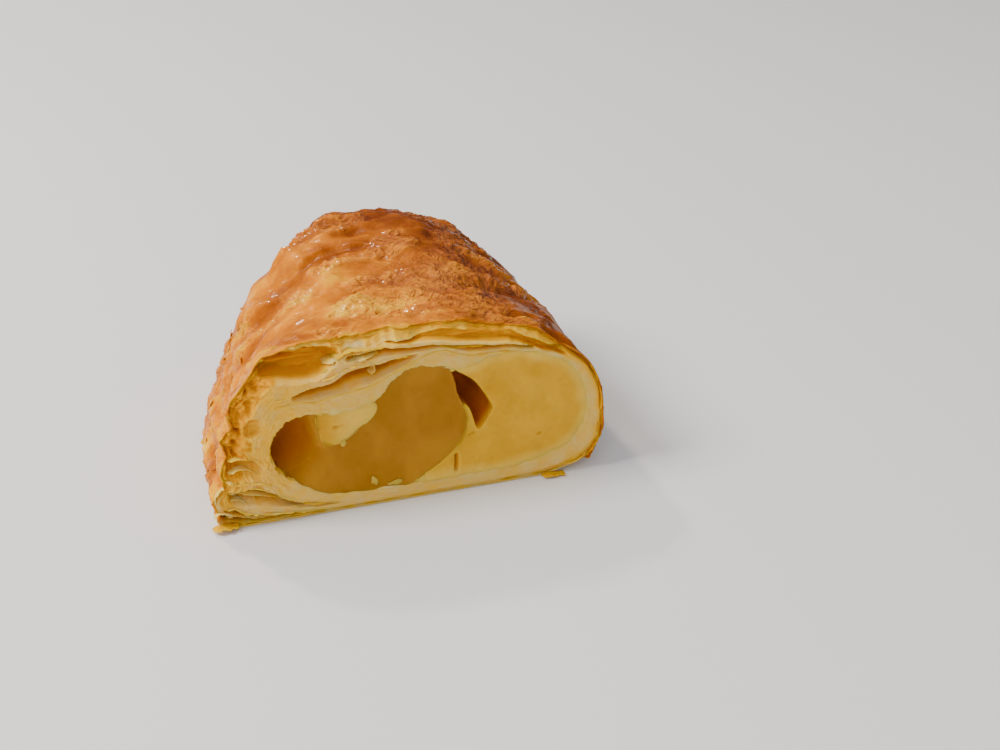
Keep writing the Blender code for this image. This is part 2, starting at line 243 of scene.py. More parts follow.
@dataclass
class PieForm:
    """The plain outer form and the filling's pocket, with the solid's own sizes."""

    depth: float = 78.0
    wall_depth: float = 71.0
    centre: tuple[float, float] = (50.0, 14.0)
    reach_left: float = 49.5
    reach_right: float = 38.5
    reach_up: float = 25.4
    reach_down: float = 15.0
    flank_lean: tuple[float, float] = (0.21, 0.40)
    corner_run: float = 22.0
    crown_height: float = 4.5
    crown_place: tuple[float, float] = (56.0, 56.0)
    crown_spread: tuple[float, float] = (24.0, 26.0)
    square_top_left: tuple[float, float] = (6.0, 3.5)
    square_top_right: float = 2.1
    square_bottom_right: float = 3.3
    square_bottom_left: float = 9.0
    close_left: float = 2.75
    close_right: float = 5.5
    close_up: float = 9.0
    end_centre_height: float = 10.0
    end_rounding: float = 1.7
    pocket_depth: float = 67.0
    pocket_close: float = 4.0
    floor_thickness: float = 3.6
    pocket_outline: tuple = (
        (19.5, 7.6), (14.6, 12.0), (13.2, 17.0), (15.6, 22.4), (20.4, 24.6), (28.0, 24.0),
        (35.5, 25.2), (40.0, 29.6), (44.5, 32.0), (50.0, 31.4), (55.0, 30.0), (64.0, 32.2),
        (73.0, 31.0), (81.0, 26.2), (84.4, 18.0), (82.6, 10.0), (76.5, 5.6), (66.0, 3.7),
        (50.0, 3.6), (36.0, 3.6), (26.0, 4.4))
    anchors: tuple = (
        (0.00, (0.6, 0.0), (19.5, 7.6)), (0.18, (9.5, 37.5), (15.6, 22.4)),
        (0.43, (48.0, 40.0), (47.5, 31.8)), (0.66, (88.5, 14.0), (84.2, 16.0)),
        (0.73, (80.0, 0.0), (76.5, 5.6)))
    columns: tuple[int, ...] = (112, 150, 92, 28, 34)
    torn_edge: tuple = (
        (0.0, 2.2), (0.05, 1.6), (0.12, 1.2), (0.17, 1.6), (0.2, 2.2), (0.24, 2.8),
        (0.45, 3.0), (0.58, 1.6), (0.64, 0.6), (0.72, 0.4), (0.94, 0.4), (1.0, 2.2))

    def closing(self, depth: Points, power: float) -> Points:
        """How much of a reach is left at this depth."""
        return np.maximum(1 - (depth / self.depth) ** power, 0.0) ** (1 / power)

    def outline(self, depth: Points, angles: Points) -> Points:
        """The outer outline, as places in space.

        Args:
            depth: how far behind the cut, one value or one for each angle.
            angles: superellipse angles.

        Returns:
            An array with last axis 3.
        """
        depth, angles = np.broadcast_arrays(np.asarray(depth, float), angles)
        left = self.reach_left * self.closing(depth, self.close_left)
        right = self.reach_right * self.closing(depth, self.close_right)
        up = self.reach_up * self.closing(depth, self.close_up)
        inner = smooth_step(0.0, self.corner_run, depth)
        top_left = self.square_top_left[0] + (
            self.square_top_left[1] - self.square_top_left[0]) * inner
        lean = self.flank_lean[0] + (self.flank_lean[1] - self.flank_lean[0]) * inner
        cosine, sine = np.cos(angles), np.sin(angles)
        square = np.where(
            sine >= 0,
            np.where(cosine >= 0, self.square_top_right, top_left),
            np.where(cosine >= 0, self.square_bottom_right, self.square_bottom_left))
        x = np.sign(cosine) * np.abs(cosine) ** (2 / square) * np.where(cosine < 0, left, right)
        z = np.sign(sine) * np.abs(sine) ** (2 / square) * np.where(
            sine < 0, self.reach_down, up)
        height = np.maximum(self.centre[1] + z, 0.0)
        across = self.centre[0] + x + lean * height * np.maximum(-x, 0.0) / left
        bump = np.exp(-((across - self.crown_place[0]) / self.crown_spread[0]) ** 2
                      - ((depth - self.crown_place[1]) / self.crown_spread[1]) ** 2)
        upper = smooth_step(0.4, 1.0, height / (self.centre[1] + self.reach_up))
        return np.stack([across, depth, height + self.crown_height * bump * upper], axis=-1)

    def _places(self, loop: Points, anchors: list[Points]) -> Points:
        """Spaces the columns evenly between each pair of anchors.

        Args:
            loop: a dense closed outline.
            anchors: the places that columns have to meet.

        Returns:
            Each column's fractional index in the loop.
        """
        steps = np.linalg.norm(np.roll(loop, -1, axis=0) - loop, axis=1)
        along = np.concatenate([[0.0], np.cumsum(steps)])
        total = along[-1]
        starts = [along[int(np.argmin(np.linalg.norm(loop - a, axis=1)))] for a in anchors]
        places: list[float] = []
        for i, count in enumerate(self.columns):
            begin, end = starts[i], starts[(i + 1) % len(starts)]
            if end <= begin:
                end += total
            places += [begin + (end - begin) * k / count for k in range(count)]
        return np.interp(np.mod(places, total), along, np.arange(len(along)))

    def angles(self) -> Points:
        """Where each column stands on the outer outline.

        Returns:
            Superellipse angles, clockwise from the seam's tip.
        """
        dense = np.linspace(0, -2 * math.pi, 6000, endpoint=False) + math.radians(200)
        loop = self.outline(0.0, dense)[:, [0, 2]]
        places = self._places(loop, [np.array(a[1]) for a in self.anchors])
        return dense[0] - places * 2 * math.pi / len(dense)

    def shares(self) -> Points:
        """How far round each column stands.

        Returns:
            Shares of the whole way round, from 0 at the seam's tip.
        """
        marks = [a[0] for a in self.anchors] + [1.0]
        return np.concatenate([
            np.linspace(marks[i], marks[i + 1], count, endpoint=False)
            for i, count in enumerate(self.columns)])

    def pocket(self) -> Points:
        """The filling's outline on the cut face.

        Returns:
            One place (x, z) for each column.
        """
        loop = closed_spline(np.array(self.pocket_outline))
        places = self._places(loop, [np.array(a[2]) for a in self.anchors])
        whole = np.vstack([loop, loop[:1]])
        index = np.arange(len(whole))
        return np.stack([np.interp(places, index, whole[:, k]) for k in range(2)], axis=1)

    def pocket_at(self, loop: Points, depth: float) -> Points:
        """The pocket's outline at one depth, over a floor that stays flat.

        Args:
            loop: the outline at the cut, as places (x, z).
            depth: how far behind the cut.

        Returns:
            Places in space, one for each column.
        """
        middle = np.array([self.centre[0], self.centre[1] + 3])
        left = max(1 - (depth / self.pocket_depth) ** self.pocket_close, 0.0)
        shrunk = middle + (loop - middle) * left ** (1 / self.pocket_close)
        shrunk[:, 1] = np.maximum(shrunk[:, 1], self.floor_thickness)
        return np.stack([shrunk[:, 0], np.full(len(loop), depth), shrunk[:, 1]], axis=1)


def outward_normals(rows: Points, row: int) -> Points:
    """Outward normals of a grid whose rows are closed loops.

    Args:
        rows: places, shaped rows by columns by 3.
        row: the loop that tells which way is out.

    Returns:
        Unit vectors of the same shape.
    """
    around = np.roll(rows, -1, axis=1) - np.roll(rows, 1, axis=1)
    across = np.gradient(rows, axis=0)
    normals = np.cross(across, around)
    normals = normals / np.maximum(np.linalg.norm(normals, axis=2), 1e-9)[..., None]
    from_middle = rows[row] - rows[row].mean(axis=0)
    return -normals if np.sum(normals[row] * from_middle) < 0 else normals


def solid_relief(points: Points, normals: Points) -> Points:
    """The solid's own blisters, ridges and layers, in millimetres.

    Args:
        points: places on the plain form.
        normals: the form's outward normals there.

    Returns:
        How far the crust stands out at each place.
    """
    seed = Vector((3.1, 7.7, 1.9))
    flat = points.reshape(-1, 3)

    def bumps(*span: float) -> Points:
        """Blender's own noise at every place."""
        scaled = flat / np.array(span)
        values = [noise.noise(Vector(p) + seed) for p in scaled]
        return np.array(values).reshape(points.shape[:-1])

    ridge = 1 - 2.6 * np.abs(bumps(13, 5, 9))
    high = 0.9 * bumps(12, 12, 12) + 0.54 * ridge + 0.35 * bumps(4.5, 4.5, 4.5)
    wall = smooth_step(0.35, 0.75, 1 - np.abs(normals[..., 2]))
    low = 1 - smooth_step(24.0, 30.0, points[..., 2])
    fold = smooth_step(0.2, 0.8, normals[..., 0])
    warp = 0.5 * bumps(20, 20, 60)
    wave = 2 * np.abs(2 * ((points[..., 2] / 6.6 + warp) % 1.0) - 1) - 1
    layered = wall * low * (1 - fold)
    relief = high * (1 - 0.5 * layered) * (1 - 0.7 * fold) + 0.8 * wave * layered
    return relief * smooth_step(0.2, 4.0, points[..., 2])


# Meshes


def new_object(name: str, mesh: bpy.types.Mesh) -> bpy.types.Object:
    """Links a new object that holds a mesh."""
    obj = bpy.data.objects.new(name, mesh)
    bpy.context.scene.collection.objects.link(obj)
    return obj


def paint(mesh: bpy.types.Mesh, name: str, values: Points) -> None:
    """Stores one number for each point of a mesh, for its material to read."""
    layer = mesh.attributes.new(name, "FLOAT", "POINT")
    layer.data.foreach_set("value", np.ascontiguousarray(values, dtype=np.float32))


def spots_of(mesh: bpy.types.Mesh) -> Points:
    """A mesh's points, in millimetres from the seam's tip."""
    places = np.empty(len(mesh.vertices) * 3)
    mesh.vertices.foreach_get("co", places)
    return places.reshape(-1, 3) / MM - SEAM_TIP


def put_spots(mesh: bpy.types.Mesh, spots: Points) -> None:
    """Moves a mesh's points to places in millimetres from the seam's tip."""
    mesh.vertices.foreach_set("co", ((spots + SEAM_TIP) * MM).reshape(-1))


def loft(name: str, rows: Points, paints: dict[str, Points]) -> bpy.types.Object:
    """A closed skin through rows of loops, drawn in to a point at each end.

    Args:
        name: the piece's name.
        rows: places in millimetres, rows by columns by 3.
        paints: named values for each place of the rows.

    Returns:
        The new object.
    """
    count, around = rows.shape[:2]
    places = rows.reshape(-1, 3)
    index = np.arange(count * around).reshape(count, around)
    after = np.roll(index, -1, axis=1)
    quads = np.stack([index[:-1], after[:-1], after[1:], index[1:]], axis=-1).reshape(-1, 4)
    first_tip = np.full(around, len(places))
    first_fan = np.stack([after[0], index[0], first_tip], axis=-1)
    last_fan = np.stack([index[-1], after[-1], first_tip + 1], axis=-1)
    whole = np.vstack([places, rows[0].mean(axis=0), rows[-1].mean(axis=0)])
    mesh = bpy.data.meshes.new(name)
    faces = quads.tolist() + first_fan.tolist() + last_fan.tolist()
    mesh.from_pydata(((whole + SEAM_TIP) * MM).tolist(), [], faces)
    for key, values in paints.items():
        tips = [values[0].mean(), values[-1].mean()]
        paint(mesh, key, np.concatenate([values.reshape(-1), tips]))
    mesh.shade_smooth()
    mesh.update()
    obj = new_object(name, mesh)
    face_outwards(obj)
    return obj


def face_outwards(obj: bpy.types.Object) -> None:
    """Turns a closed mesh's faces outwards, by the sign of its volume."""
    bm = bmesh.new()
    bm.from_mesh(obj.data)
    bmesh.ops.recalc_face_normals(bm, faces=bm.faces)
    if bm.calc_volume(signed=True) < 0:
        bmesh.ops.reverse_faces(bm, faces=bm.faces)
    bm.to_mesh(obj.data)
    bm.free()


def join(name: str, objects: Sequence[bpy.types.Object]) -> bpy.types.Object:
    """Joins objects into one mesh under a new name.

    Args:
        name: the joined piece's name.
        objects: the objects, which are used up.

    Returns:
        The joined object.
    """
    chosen = {"active_object": objects[0], "selected_editable_objects": list(objects)}
    with bpy.context.temp_override(**chosen):
        bpy.ops.object.join()
    objects[0].name = name
    objects[0].data.name = name
    return objects[0]


# Shader trees


class Sock:
    """A shader value that takes part in ordinary arithmetic."""

    def __init__(self, tree: "Tree", socket: bpy.types.NodeSocket) -> None:
        """Keeps the tree and the socket."""
        self.tree = tree
        self.socket = socket

    def _math(self, operation: str, *values: Any) -> "Sock":
        """Adds one Math node."""
        return self.tree.add("ShaderNodeMath", {"operation": operation}, dict(enumerate(values)))

    def __add__(self, other: Any) -> "Sock":
        """self + other."""
        return self._math("ADD", self, other)

    __radd__ = __add__

    def __sub__(self, other: Any) -> "Sock":
        """self - other."""
        return self._math("SUBTRACT", self, other)

    def __rsub__(self, other: Any) -> "Sock":
        """other - self."""
        return self._math("SUBTRACT", other, self)

    def __mul__(self, other: Any) -> "Sock":
        """self * other."""
        return self._math("MULTIPLY", self, other)

    __rmul__ = __mul__

    def creased(self) -> "Sock":
        """Sharp ridges where a noise value passes its middle, up to 1."""
        return 1.0 - self._math("ABSOLUTE", self - 0.5) * 5.0

    def clamped(self) -> "Sock":
        """The value held between 0 and 1."""
        return self.tree.add("ShaderNodeClamp", {}, {"Value": self})

    def between(self, low: float, high: float) -> "Sock":
        """A smooth rise from 0 at low to 1 at high."""
        return self.tree.add(
            "ShaderNodeMapRange", {"interpolation_type": "SMOOTHSTEP"},
            {"Value": self, "From Min": low, "From Max": high})


class Tree:
    """A material's node tree, written as expressions."""

    def __init__(self, name: str) -> None:
        """Makes the material, its Principled shader and its output."""
        self.material = bpy.data.materials.new(name)
        self.material.use_nodes = True
        self.nodes = self.material.node_tree.nodes
        self.links = self.material.node_tree.links
        self.shader = self.nodes["Principled BSDF"]
        self.place = self.add("ShaderNodeTexCoord", {}, {}, "Object")

    def add(self, kind: str, settings: dict[str, Any], inputs: dict[Any, Any],
            output: Any = 0) -> Sock:
        """Adds a node.

        Args:
            kind: the node's type.
            settings: attributes set first; "ramp" holds a colour ramp's stops.
            inputs: values or links, by socket name or index.
            output: the output wanted.

        Returns:
            The chosen output.
        """
        node = self.nodes.new(kind)
        for key, value in settings.items():
            if key == "ramp":
                stops = node.color_ramp.elements
                while len(stops) < len(value):
                    stops.new(0.5)
                for stop, (position, colour) in zip(stops, value):
                    stop.position = position
                    stop.color = (*colour, 1.0)
            else:
                setattr(node, key, value)
        for key, value in inputs.items():
            self.feed(node.inputs[key], value)
        return Sock(self, node.outputs[output])

    def feed(self, socket: bpy.types.NodeSocket, value: Any) -> None:
        """Sets a socket's value or links it."""
        if isinstance(value, Sock):
            self.links.new(value.socket, socket)
        elif isinstance(value, tuple) and len(value) == 3 and socket.type == "RGBA":
            socket.default_value = (*value, 1.0)
        else:
            socket.default_value = value

    def bumps(self, scale: float, detail: float = 3.0, rough: float = 0.55,
              stretch: tuple[float, float, float] = (1, 1, 1), warp: float = 0.0) -> Sock:
        """Noise on Object coordinates, with about scale bumps to the metre."""
        place = self.add("ShaderNodeMapping", {}, {"Vector": self.place, "Scale": stretch})
        return self.add("ShaderNodeTexNoise", {}, {
            "Vector": place, "Scale": scale, "Detail": detail, "Roughness": rough,
            "Distortion": warp})

    def value(self, name: str) -> Sock:
        """A number painted on the mesh."""
        return self.add("ShaderNodeAttribute", {"attribute_name": name}, {}, "Fac")

    def ramp(self, value: Sock, stops: Sequence[tuple[float, tuple]]) -> Sock:
        """A colour ramp read at a value."""
        return self.add("ShaderNodeValToRGB", {"ramp": stops}, {"Fac": value})

    def mix(self, share: Any, first: Any, second: Any) -> Sock:
        """Mixes two colours."""
        settings = {"data_type": "RGBA"}
        return self.add("ShaderNodeMix", settings, {0: share, 6: first, 7: second}, 2)

    def bump(self, height: Sock, distance: float) -> None:
        """Feeds a height, in units of a distance in metres, to the shader's normal."""
        normal = self.add("ShaderNodeBump", {}, {"Distance": distance, "Height": height})
        self.links.new(normal.socket, self.shader.inputs["Normal"])

    def finish(self, **values: Any) -> bpy.types.Material:
        """Sets the shader's sockets by name, with _ for a space.

        Args:
            values: numbers, colours or links.

        Returns:
            The finished material.
        """
        for key, value in values.items():
            self.feed(self.shader.inputs[key.replace("_", " ")], value)
        return self.material


@dataclass(frozen=True)
class BakedPastry:
    """Puff pastry, from pale inner sheets to the dark glazed skin.

    The browning value painted on a mesh picks the colour: 0 is raw cream, 1 is deep brown.
    On the skin and the case that value also carries painted shade and painted highlights.
    """

    name: str
    glazed: bool
    white: tuple = (0.73, 0.54, 0.20)
    pale: tuple = (0.82, 0.45, 0.03)
    straw: tuple = (0.70, 0.31, 0.001)
    golden: tuple = (0.69, 0.285, 0.001)
    amber: tuple = (0.435, 0.126, 0.001)
    brown: tuple = (0.14, 0.023, 0.001)
    softness: float = 0.3

    def build(self) -> bpy.types.Material:
        """Makes the material.

        Returns:
            The finished material.
        """
        t = Tree(self.name)
        bake = t.value("bake")
        crinkled = t.value("crinkled")
        blotch = t.bumps(260, 3.0, 0.6)
        mottle = t.bumps(900, 3.0, 0.65)
        wrinkle = t.bumps(250, 1.5, 0.5, (0.8, 1.0, 1.0), 1.6).creased()
        pleat = t.bumps(560, 1.0, 0.5, (0.35, 1.0, 1.0), 1.4).creased()
        vary = 1.0 if self.glazed else 0.45
        tone = bake + (blotch - 0.5) * (0.34 * vary) + (mottle - 0.5) * (0.12 * vary)
        tone = tone - wrinkle.between(0.4, 1.0) * crinkled * 0.10
        colour = t.ramp(tone.clamped(), [
            (0.0, self.white), (0.11, self.pale), (0.25, self.straw),
            (0.46, self.golden), (0.70, self.amber), (1.0, self.brown)])
        speck = t.bumps(1300, 1.0).between(0.72, 0.78) * bake.between(0.2, 0.5)
        colour = t.mix(speck * 0.35, colour, self.brown)
        grit = t.bumps(1500, 4.0, 0.6)
        fibre = t.bumps(700, 3.0, 0.6, (0.35, 1.0, 1.6), 0.4)
        relief = grit * (0.1 if self.glazed else 0.3) + fibre * (0.1 if self.glazed else 0.6)
        relief = relief + wrinkle * (0.25 + crinkled * 1.1) + pleat * (0.06 + crinkled * 0.50)
        t.bump(relief, 0.0003)
        rough = 0.44 + mottle * 0.2
        if self.glazed:
            rough = 0.44 + t.bumps(420, 3.0) * 0.16 - t.value("glaze") * 0.18
        coat = t.value("glaze") * (0.12 + crinkled * 0.60) if self.glazed else 0.0
        return t.finish(
            Base_Color=colour, Roughness=rough, Coat_Weight=coat, Coat_Roughness=0.11,
            Subsurface_Weight=self.softness, Subsurface_Radius=(1.0, 0.5, 0.14),
            Subsurface_Scale=0.0022, Specular_IOR_Level=0.06,
            Specular_Tint=(1.0, 0.78, 0.5))


@dataclass(frozen=True)
class CustardCream:
    """Smooth, moist, set custard."""

    name: str = "custard cream"
    light: tuple = (0.76, 0.43, 0.022)
    deep: tuple = (0.64, 0.315, 0.004)
    rim: tuple = (0.83, 0.50, 0.065)
    # Painted shade, mixed in deep in the air hole and at the dollop's top-left.
    painted_shade: tuple = (0.60, 0.16, 0.001)

    def build(self) -> bpy.types.Material:
        """Makes the material.

        Returns:
            The finished material.
        """
        t = Tree(self.name)
        patch = t.bumps(110, 2.0)
        fine = t.bumps(650, 3.0)
        share = patch * 1.4 + fine * 0.5 - 0.45
        colour = t.mix(share.clamped(), self.deep, self.light)
        # The paler rim by the pastry; on the dollop it pales the right side against its painted
        # shade.
        colour = t.mix(t.value("rim"), colour, self.rim)
        # Painted shade where the hollow value is painted.
        colour = t.mix(t.value("hollow"), colour, self.painted_shade)
        t.bump(t.bumps(380, 4.0, 0.5) + t.bumps(1300, 2.0) * 0.25, 0.0005)
        return t.finish(
            Base_Color=colour, Roughness=0.42 + fine * 0.16, Subsurface_Weight=0.6,
            Subsurface_Radius=(1.0, 0.62, 0.2), Subsurface_Scale=0.004,
            Specular_IOR_Level=0.10, Specular_Tint=(1.0, 0.86, 0.6))


@dataclass(frozen=True)
class CookedApple:
    """Apple stewed until it's translucent and amber."""

    name: str = "cooked apple"
    flesh: tuple = (0.37, 0.158, 0.010)
    pale: tuple = (0.47, 0.215, 0.014)
    # Painted shade: the darker amber in the hollow beside the dollop.
    deep: tuple = (0.37, 0.105, 0.001)

    def build(self) -> bpy.types.Material:
        """Makes the material.

        Returns:
            The finished material.
        """
        t = Tree(self.name)
        vein = t.bumps(95, 3.0, 0.5, (1.3, 1.0, 1.0), 0.5)
        colour = t.mix(vein.between(0.35, 0.75), self.flesh, self.pale)
        # Painted shade, deepening into the hollow.
        colour = t.mix(t.value("hollow"), colour, self.deep)
        t.bump(t.bumps(1100, 3.0) * 0.4 + t.bumps(300, 2.0), 0.00022)
        return t.finish(
            Base_Color=colour, Roughness=0.5, Subsurface_Weight=0.6,
            Subsurface_Radius=(1.0, 0.5, 0.1), Subsurface_Scale=0.004,
            Specular_IOR_Level=0.08, Specular_Tint=(1.0, 0.8, 0.5))


# The baked skin


@dataclass
class BakedSkin:
    """The glazed outer skin, torn at the cut, wrapped round the whole half."""

    form: PieForm
    lip: float = 0.3
    thickness: float = 0.9
    deeper: float = 2.4
    layer_pitch: float = 2.3
    fold_height: float = 0.60
    swell_height: float = 0.60
    lump_height: float = 0.46
    blister_height: float = 0.36
    crinkle_height: float = 0.26
    fan_height: float = 0.36
    shingle_height: float = 0.55
    rows: int = 172
    end_rows: int = 26
    fan_place: tuple[float, float] = (70.0, 2.0)
    grain: Grain = field(default_factory=lambda: Grain(11))

    def front(self, shares: Points, loop: Points) -> Points:
        """How far back the skin's torn edge lies.

        Args:
            shares: the share of the way round of each column.
            loop: the outer outline at the cut.

        Returns:
            One depth for each column.
        """
        torn = along_line(self.form.torn_edge, shares)
        ragged = self.grain.at(loop, 5.0) * 0.35 + self.grain.at(loop, 1.6) * 0.22
        upper = smooth_step(0.02, 0.1, shares) * (1 - smooth_step(0.62, 0.72, shares))
        return np.maximum(torn * (1 + ragged * 0.9) * upper + 0.4 * (1 - upper), 0.15)

    def plain_rows(self, angles: Points, front: Points) -> Points:
        """The skin's plain form, from its torn edge to the sealed end's middle.

        Args:
            angles: each column's place on the outline.
            front: how far back the torn edge lies in each column.

        Returns:
            Places, rows by columns by 3.
        """
        t = np.linspace(0, 1, self.rows)[:, None] ** 1.25
        depths = front[None] + (self.form.wall_depth - front[None]) * t
        body = self.form.outline(depths, np.broadcast_to(angles, depths.shape))
        last = body[-1]
        middle = np.array([
            (last[:, 0].min() + last[:, 0].max()) / 2, 0.0, self.form.end_centre_height])
        shares = np.linspace(0.985, 0.03, self.end_rows)[:, None, None]
        bulge = (1 - shares**self.form.end_rounding) ** (1 / self.form.end_rounding)
        end = middle + (last[None] - middle) * shares
        end[..., 1] = self.form.wall_depth + (
            self.form.depth - self.form.wall_depth) * bulge[..., 0]
        return np.concatenate([body, end])

    def flaky_level(self, points: Points) -> Points:
        """Which flaky layer each place on the flank is in, counted up from the floor."""
        g = self.grain
        wander = 0.8 * g.at(points, (16, 16, 9)) + 0.35 * g.at(points, 3.5)
        return points[..., 2] / self.layer_pitch + wander

    def fine_relief(self, points: Points, normals: Points) -> tuple[Points, Points]:
        """Creases, blisters and crinkles of the skin.

        Args:
            points: places on the skin.
            normals: outward normals there.

        Returns:
            Heights in millimetres, and how blistered and thin each place is.
        """
        g = self.grain
        top = smooth_step(0.15, 0.6, normals[..., 2])
        drift = g.at(points, (24, 16, 24)) * 6
        warped = points + np.stack([0 * drift, drift, 0 * drift], axis=-1)
        fold = g.creased(warped, (30, 9.0, 22))
        fold = np.sign(fold) * np.abs(fold) ** 1.3
        soft = g.at(warped, (16, 9, 14))
        lumps = g.at(warped, (7.0, 4.6, 6.0)) + 0.4 * g.at(points, 3.0)
        patch = g.at(points + 91, (17, 9, 17)) + 0.75 * g.at(points + 40, (8, 5, 8))
        patch = smooth_step(0.0, 0.40, patch)
        blister = np.clip(g.creased(warped, (4.0, 2.8, 3.6)), -0.6, 1) * (0.25 + 0.75 * patch)
        crinkle = g.creased(points, (2.2, 1.7, 2.0)) * patch
        away = points[..., :2] - np.array(self.fan_place)
        reach = np.linalg.norm(away, axis=-1)
        turn = np.arctan2(away[..., 1], -away[..., 0])
        fan_mask = smooth_step(4, 12, reach) * (1 - smooth_step(26, 44, reach))
        fan_mask = fan_mask * smooth_step(0.05, 0.35, turn) * (1 - smooth_step(1.4, 2.0, turn))
        fan_mask = fan_mask * top
        spokes = np.stack([turn * 26 + soft * 1.2, reach / 14, points[..., 2] / 14], axis=-1)
        fan = g.creased(spokes, 1.0) * fan_mask
        height = self.fold_height * fold + self.swell_height * soft + self.lump_height * lumps
        height = height + self.blister_height * blister + self.crinkle_height * crinkle
        height = top * height + self.fan_height * fan
        shingle = (self.flaky_level(points) % 1.0) ** 1.6
        broken = smooth_step(-0.35, 0.25, g.at(points + 33, (7, 7, 3)))
        side = self.shingle_height * shingle * broken + 0.34 * g.layered(points, 4.0)
        side = (1 - top) * (side + 0.14 * g.creased(points, (3, 3, 1.0)))
        crinkled = np.clip(patch * top + fan_mask + 0.6 * (1 - top) * broken, 0, 1)
        return height + side, crinkled

    def bake(self, points: Points, normals: Points, height: Points, thin: Points,
             behind: Points) -> Points:
        """How brown the skin is, plus painted shade and a painted highlight.

        Args:
            points: places on the skin.
            normals: outward normals there.
            height: the fine relief.
            thin: how blistered each place is.
            behind: distance behind the torn edge.

        Returns:
            Values from 0, pale, to 1, deep brown.
        """
        g = self.grain
        x, y, z = points[..., 0], points[..., 1], points[..., 2]
        top = smooth_step(0.1, 0.5, normals[..., 2])
        base = 0.585 + 0.13 * g.at(points, (18, 12, 14)) + 0.12 * g.at(points, (7, 4.6, 7))
        base = base + 0.05 * g.at(points, 2.6)
        # Darker towards the right and the back: partly deeper browning, partly painted shade over
        # the crust's right side.
        darker = 0.32 * smooth_step(30, 78, x + 0.25 * y) + 0.10 * smooth_step(30, 70, y)
        # Paler on thin blistered patches, and paler towards the torn edge, which is a painted
        # highlight along the lip.
        paler = 0.10 * thin * (1 - darker) + 0.07 * np.exp(-behind / 0.6)
        paler = paler + 0.08 * np.exp(-behind / 4.0)
        # Painted shade: darker in the hollows of the fine relief, paler on its crests.
        crease_shade = -0.18 * np.clip(height, -1.0, 1.0) * top
        ledge = 0.30 * (self.flaky_level(points) % 1.0) - 0.10 + 0.16 * g.at(points + 7, (5, 5, 2))
        ledge = (1 - top) * ledge
        low = smooth_step(0.2, 0.8, -normals[..., 2])
        under = low * (0.16 + 0.34 * np.exp(-behind / 6.0))
        under = under + 0.6 * (1 - smooth_step(0.8, 3.0, z)) * np.exp(-behind / 5.0)
        return np.clip(base + darker - paler + crease_shade + ledge - under, 0.02, 0.98)

    def build(self) -> bpy.types.Object:
        """Lofts the skin from the inside of its far end, round the torn edge, and back.

        Returns:
            The skin's object.
        """
        angles, shares = self.form.angles(), self.form.shares()
        loop = self.form.outline(0.0, angles)
        front = self.front(shares, loop)
        plain = self.plain_rows(angles, front)
        normals = outward_normals(plain, self.rows // 2)
        ends = np.ones(len(plain))
        from_tip = np.arange(self.end_rows)[::-1]
        ends[-self.end_rows:] = np.minimum(from_tip / (0.6 * self.end_rows), 1)
        coarse = solid_relief(plain, normals) * ends[:, None]
        height, thin = self.fine_relief(plain, normals)
        off_floor = smooth_step(0.1, 2.5, plain[..., 2])
        behind = plain[..., 1] - front[None]
        calm = smooth_step(-0.2, 3.0, behind) * 0.6 + 0.4
        outer = plain + normals * (coarse + height * off_floor * ends[:, None] * calm)[..., None]
        outer[..., 2] = np.maximum(outer[..., 2], 0.0)
        picks = np.unique(np.concatenate([
            np.arange(0, 14, 2), np.linspace(14, self.rows - 1, 12).astype(int),
            self.rows + np.array([4, 12, 20])]))
        wall = self.lip + (self.thickness - self.lip) * smooth_step(0.0, 2.5, behind[picks])
        raised = smooth_step(1, 6, plain[picks][..., 2])
        wall = wall + self.deeper * smooth_step(3.0, 9.0, behind[picks]) * raised
        inner = outer[picks] - normals[picks] * wall[..., None]
        inner[..., 2] = np.maximum(inner[..., 2], 0.25)
        inner[0, :, 1] += 0.12
        rows = np.concatenate([inner[::-1], outer])
        tone = self.bake(outer, normals, height, thin, behind)
        inside = np.clip(tone[picks] * 0.6, 0.1, 0.45)
        glaze = smooth_step(0.1, 0.5, normals[..., 2]) * smooth_step(0.2, 1.2, behind)
        glaze = glaze * (0.75 + 0.25 * self.grain.at(outer, 9.0))
        paints = {
            "bake": np.concatenate([inside[::-1], tone]),
            "glaze": np.concatenate([0 * inside, np.clip(glaze, 0, 1)]),
            "crinkled": np.concatenate([0 * inside, thin])}
        return loft("baked_skin", rows, paints)


# The layered case


@dataclass(frozen=True)
class SheetGap:
    """A gap between two pastry sheets that opens on the cut face."""

    low: tuple
    high: tuple
    depth: float
    # The deeper tone painted inside the gap, as painted shade.
    tone: float
    shelving: bool = False

    def share(self, x: Points, z: Points) -> Points:
        """How far up the gap each place is.

        Args:
            x: places along the cut face.
            z: their heights.

        Returns:
            From 0 at its floor to 1 at its roof, and beyond them outside the gap.
        """
        low, high = along_line(self.low, x), along_line(self.high, x)
        inside = (x > self.low[0][0]) & (x < self.low[-1][0])
        return np.where(inside, (z - low) / np.maximum(high - low, 0.05), -1.0)

    def hollow(self, x: Points, z: Points) -> Points:
        """From 0 outside the gap to 1 at its deepest.

        Args:
            x: places along the cut face.
            z: their heights.

        Returns:
            The share of the full depth.
        """
        t = self.share(x, z)
        if self.shelving:
            body = smooth_step(0.0, 0.8, t) * (1 - smooth_step(0.92, 1.04, t))
        else:
            body = smooth_step(-0.05, 0.18, t) * (1 - smooth_step(0.86, 1.05, t))
        ends = smooth_step(self.low[0][0], self.low[0][0] + 2.0, x) * (
            1 - smooth_step(self.low[-1][0] - 3.0, self.low[-1][0], x))
        return body * ends


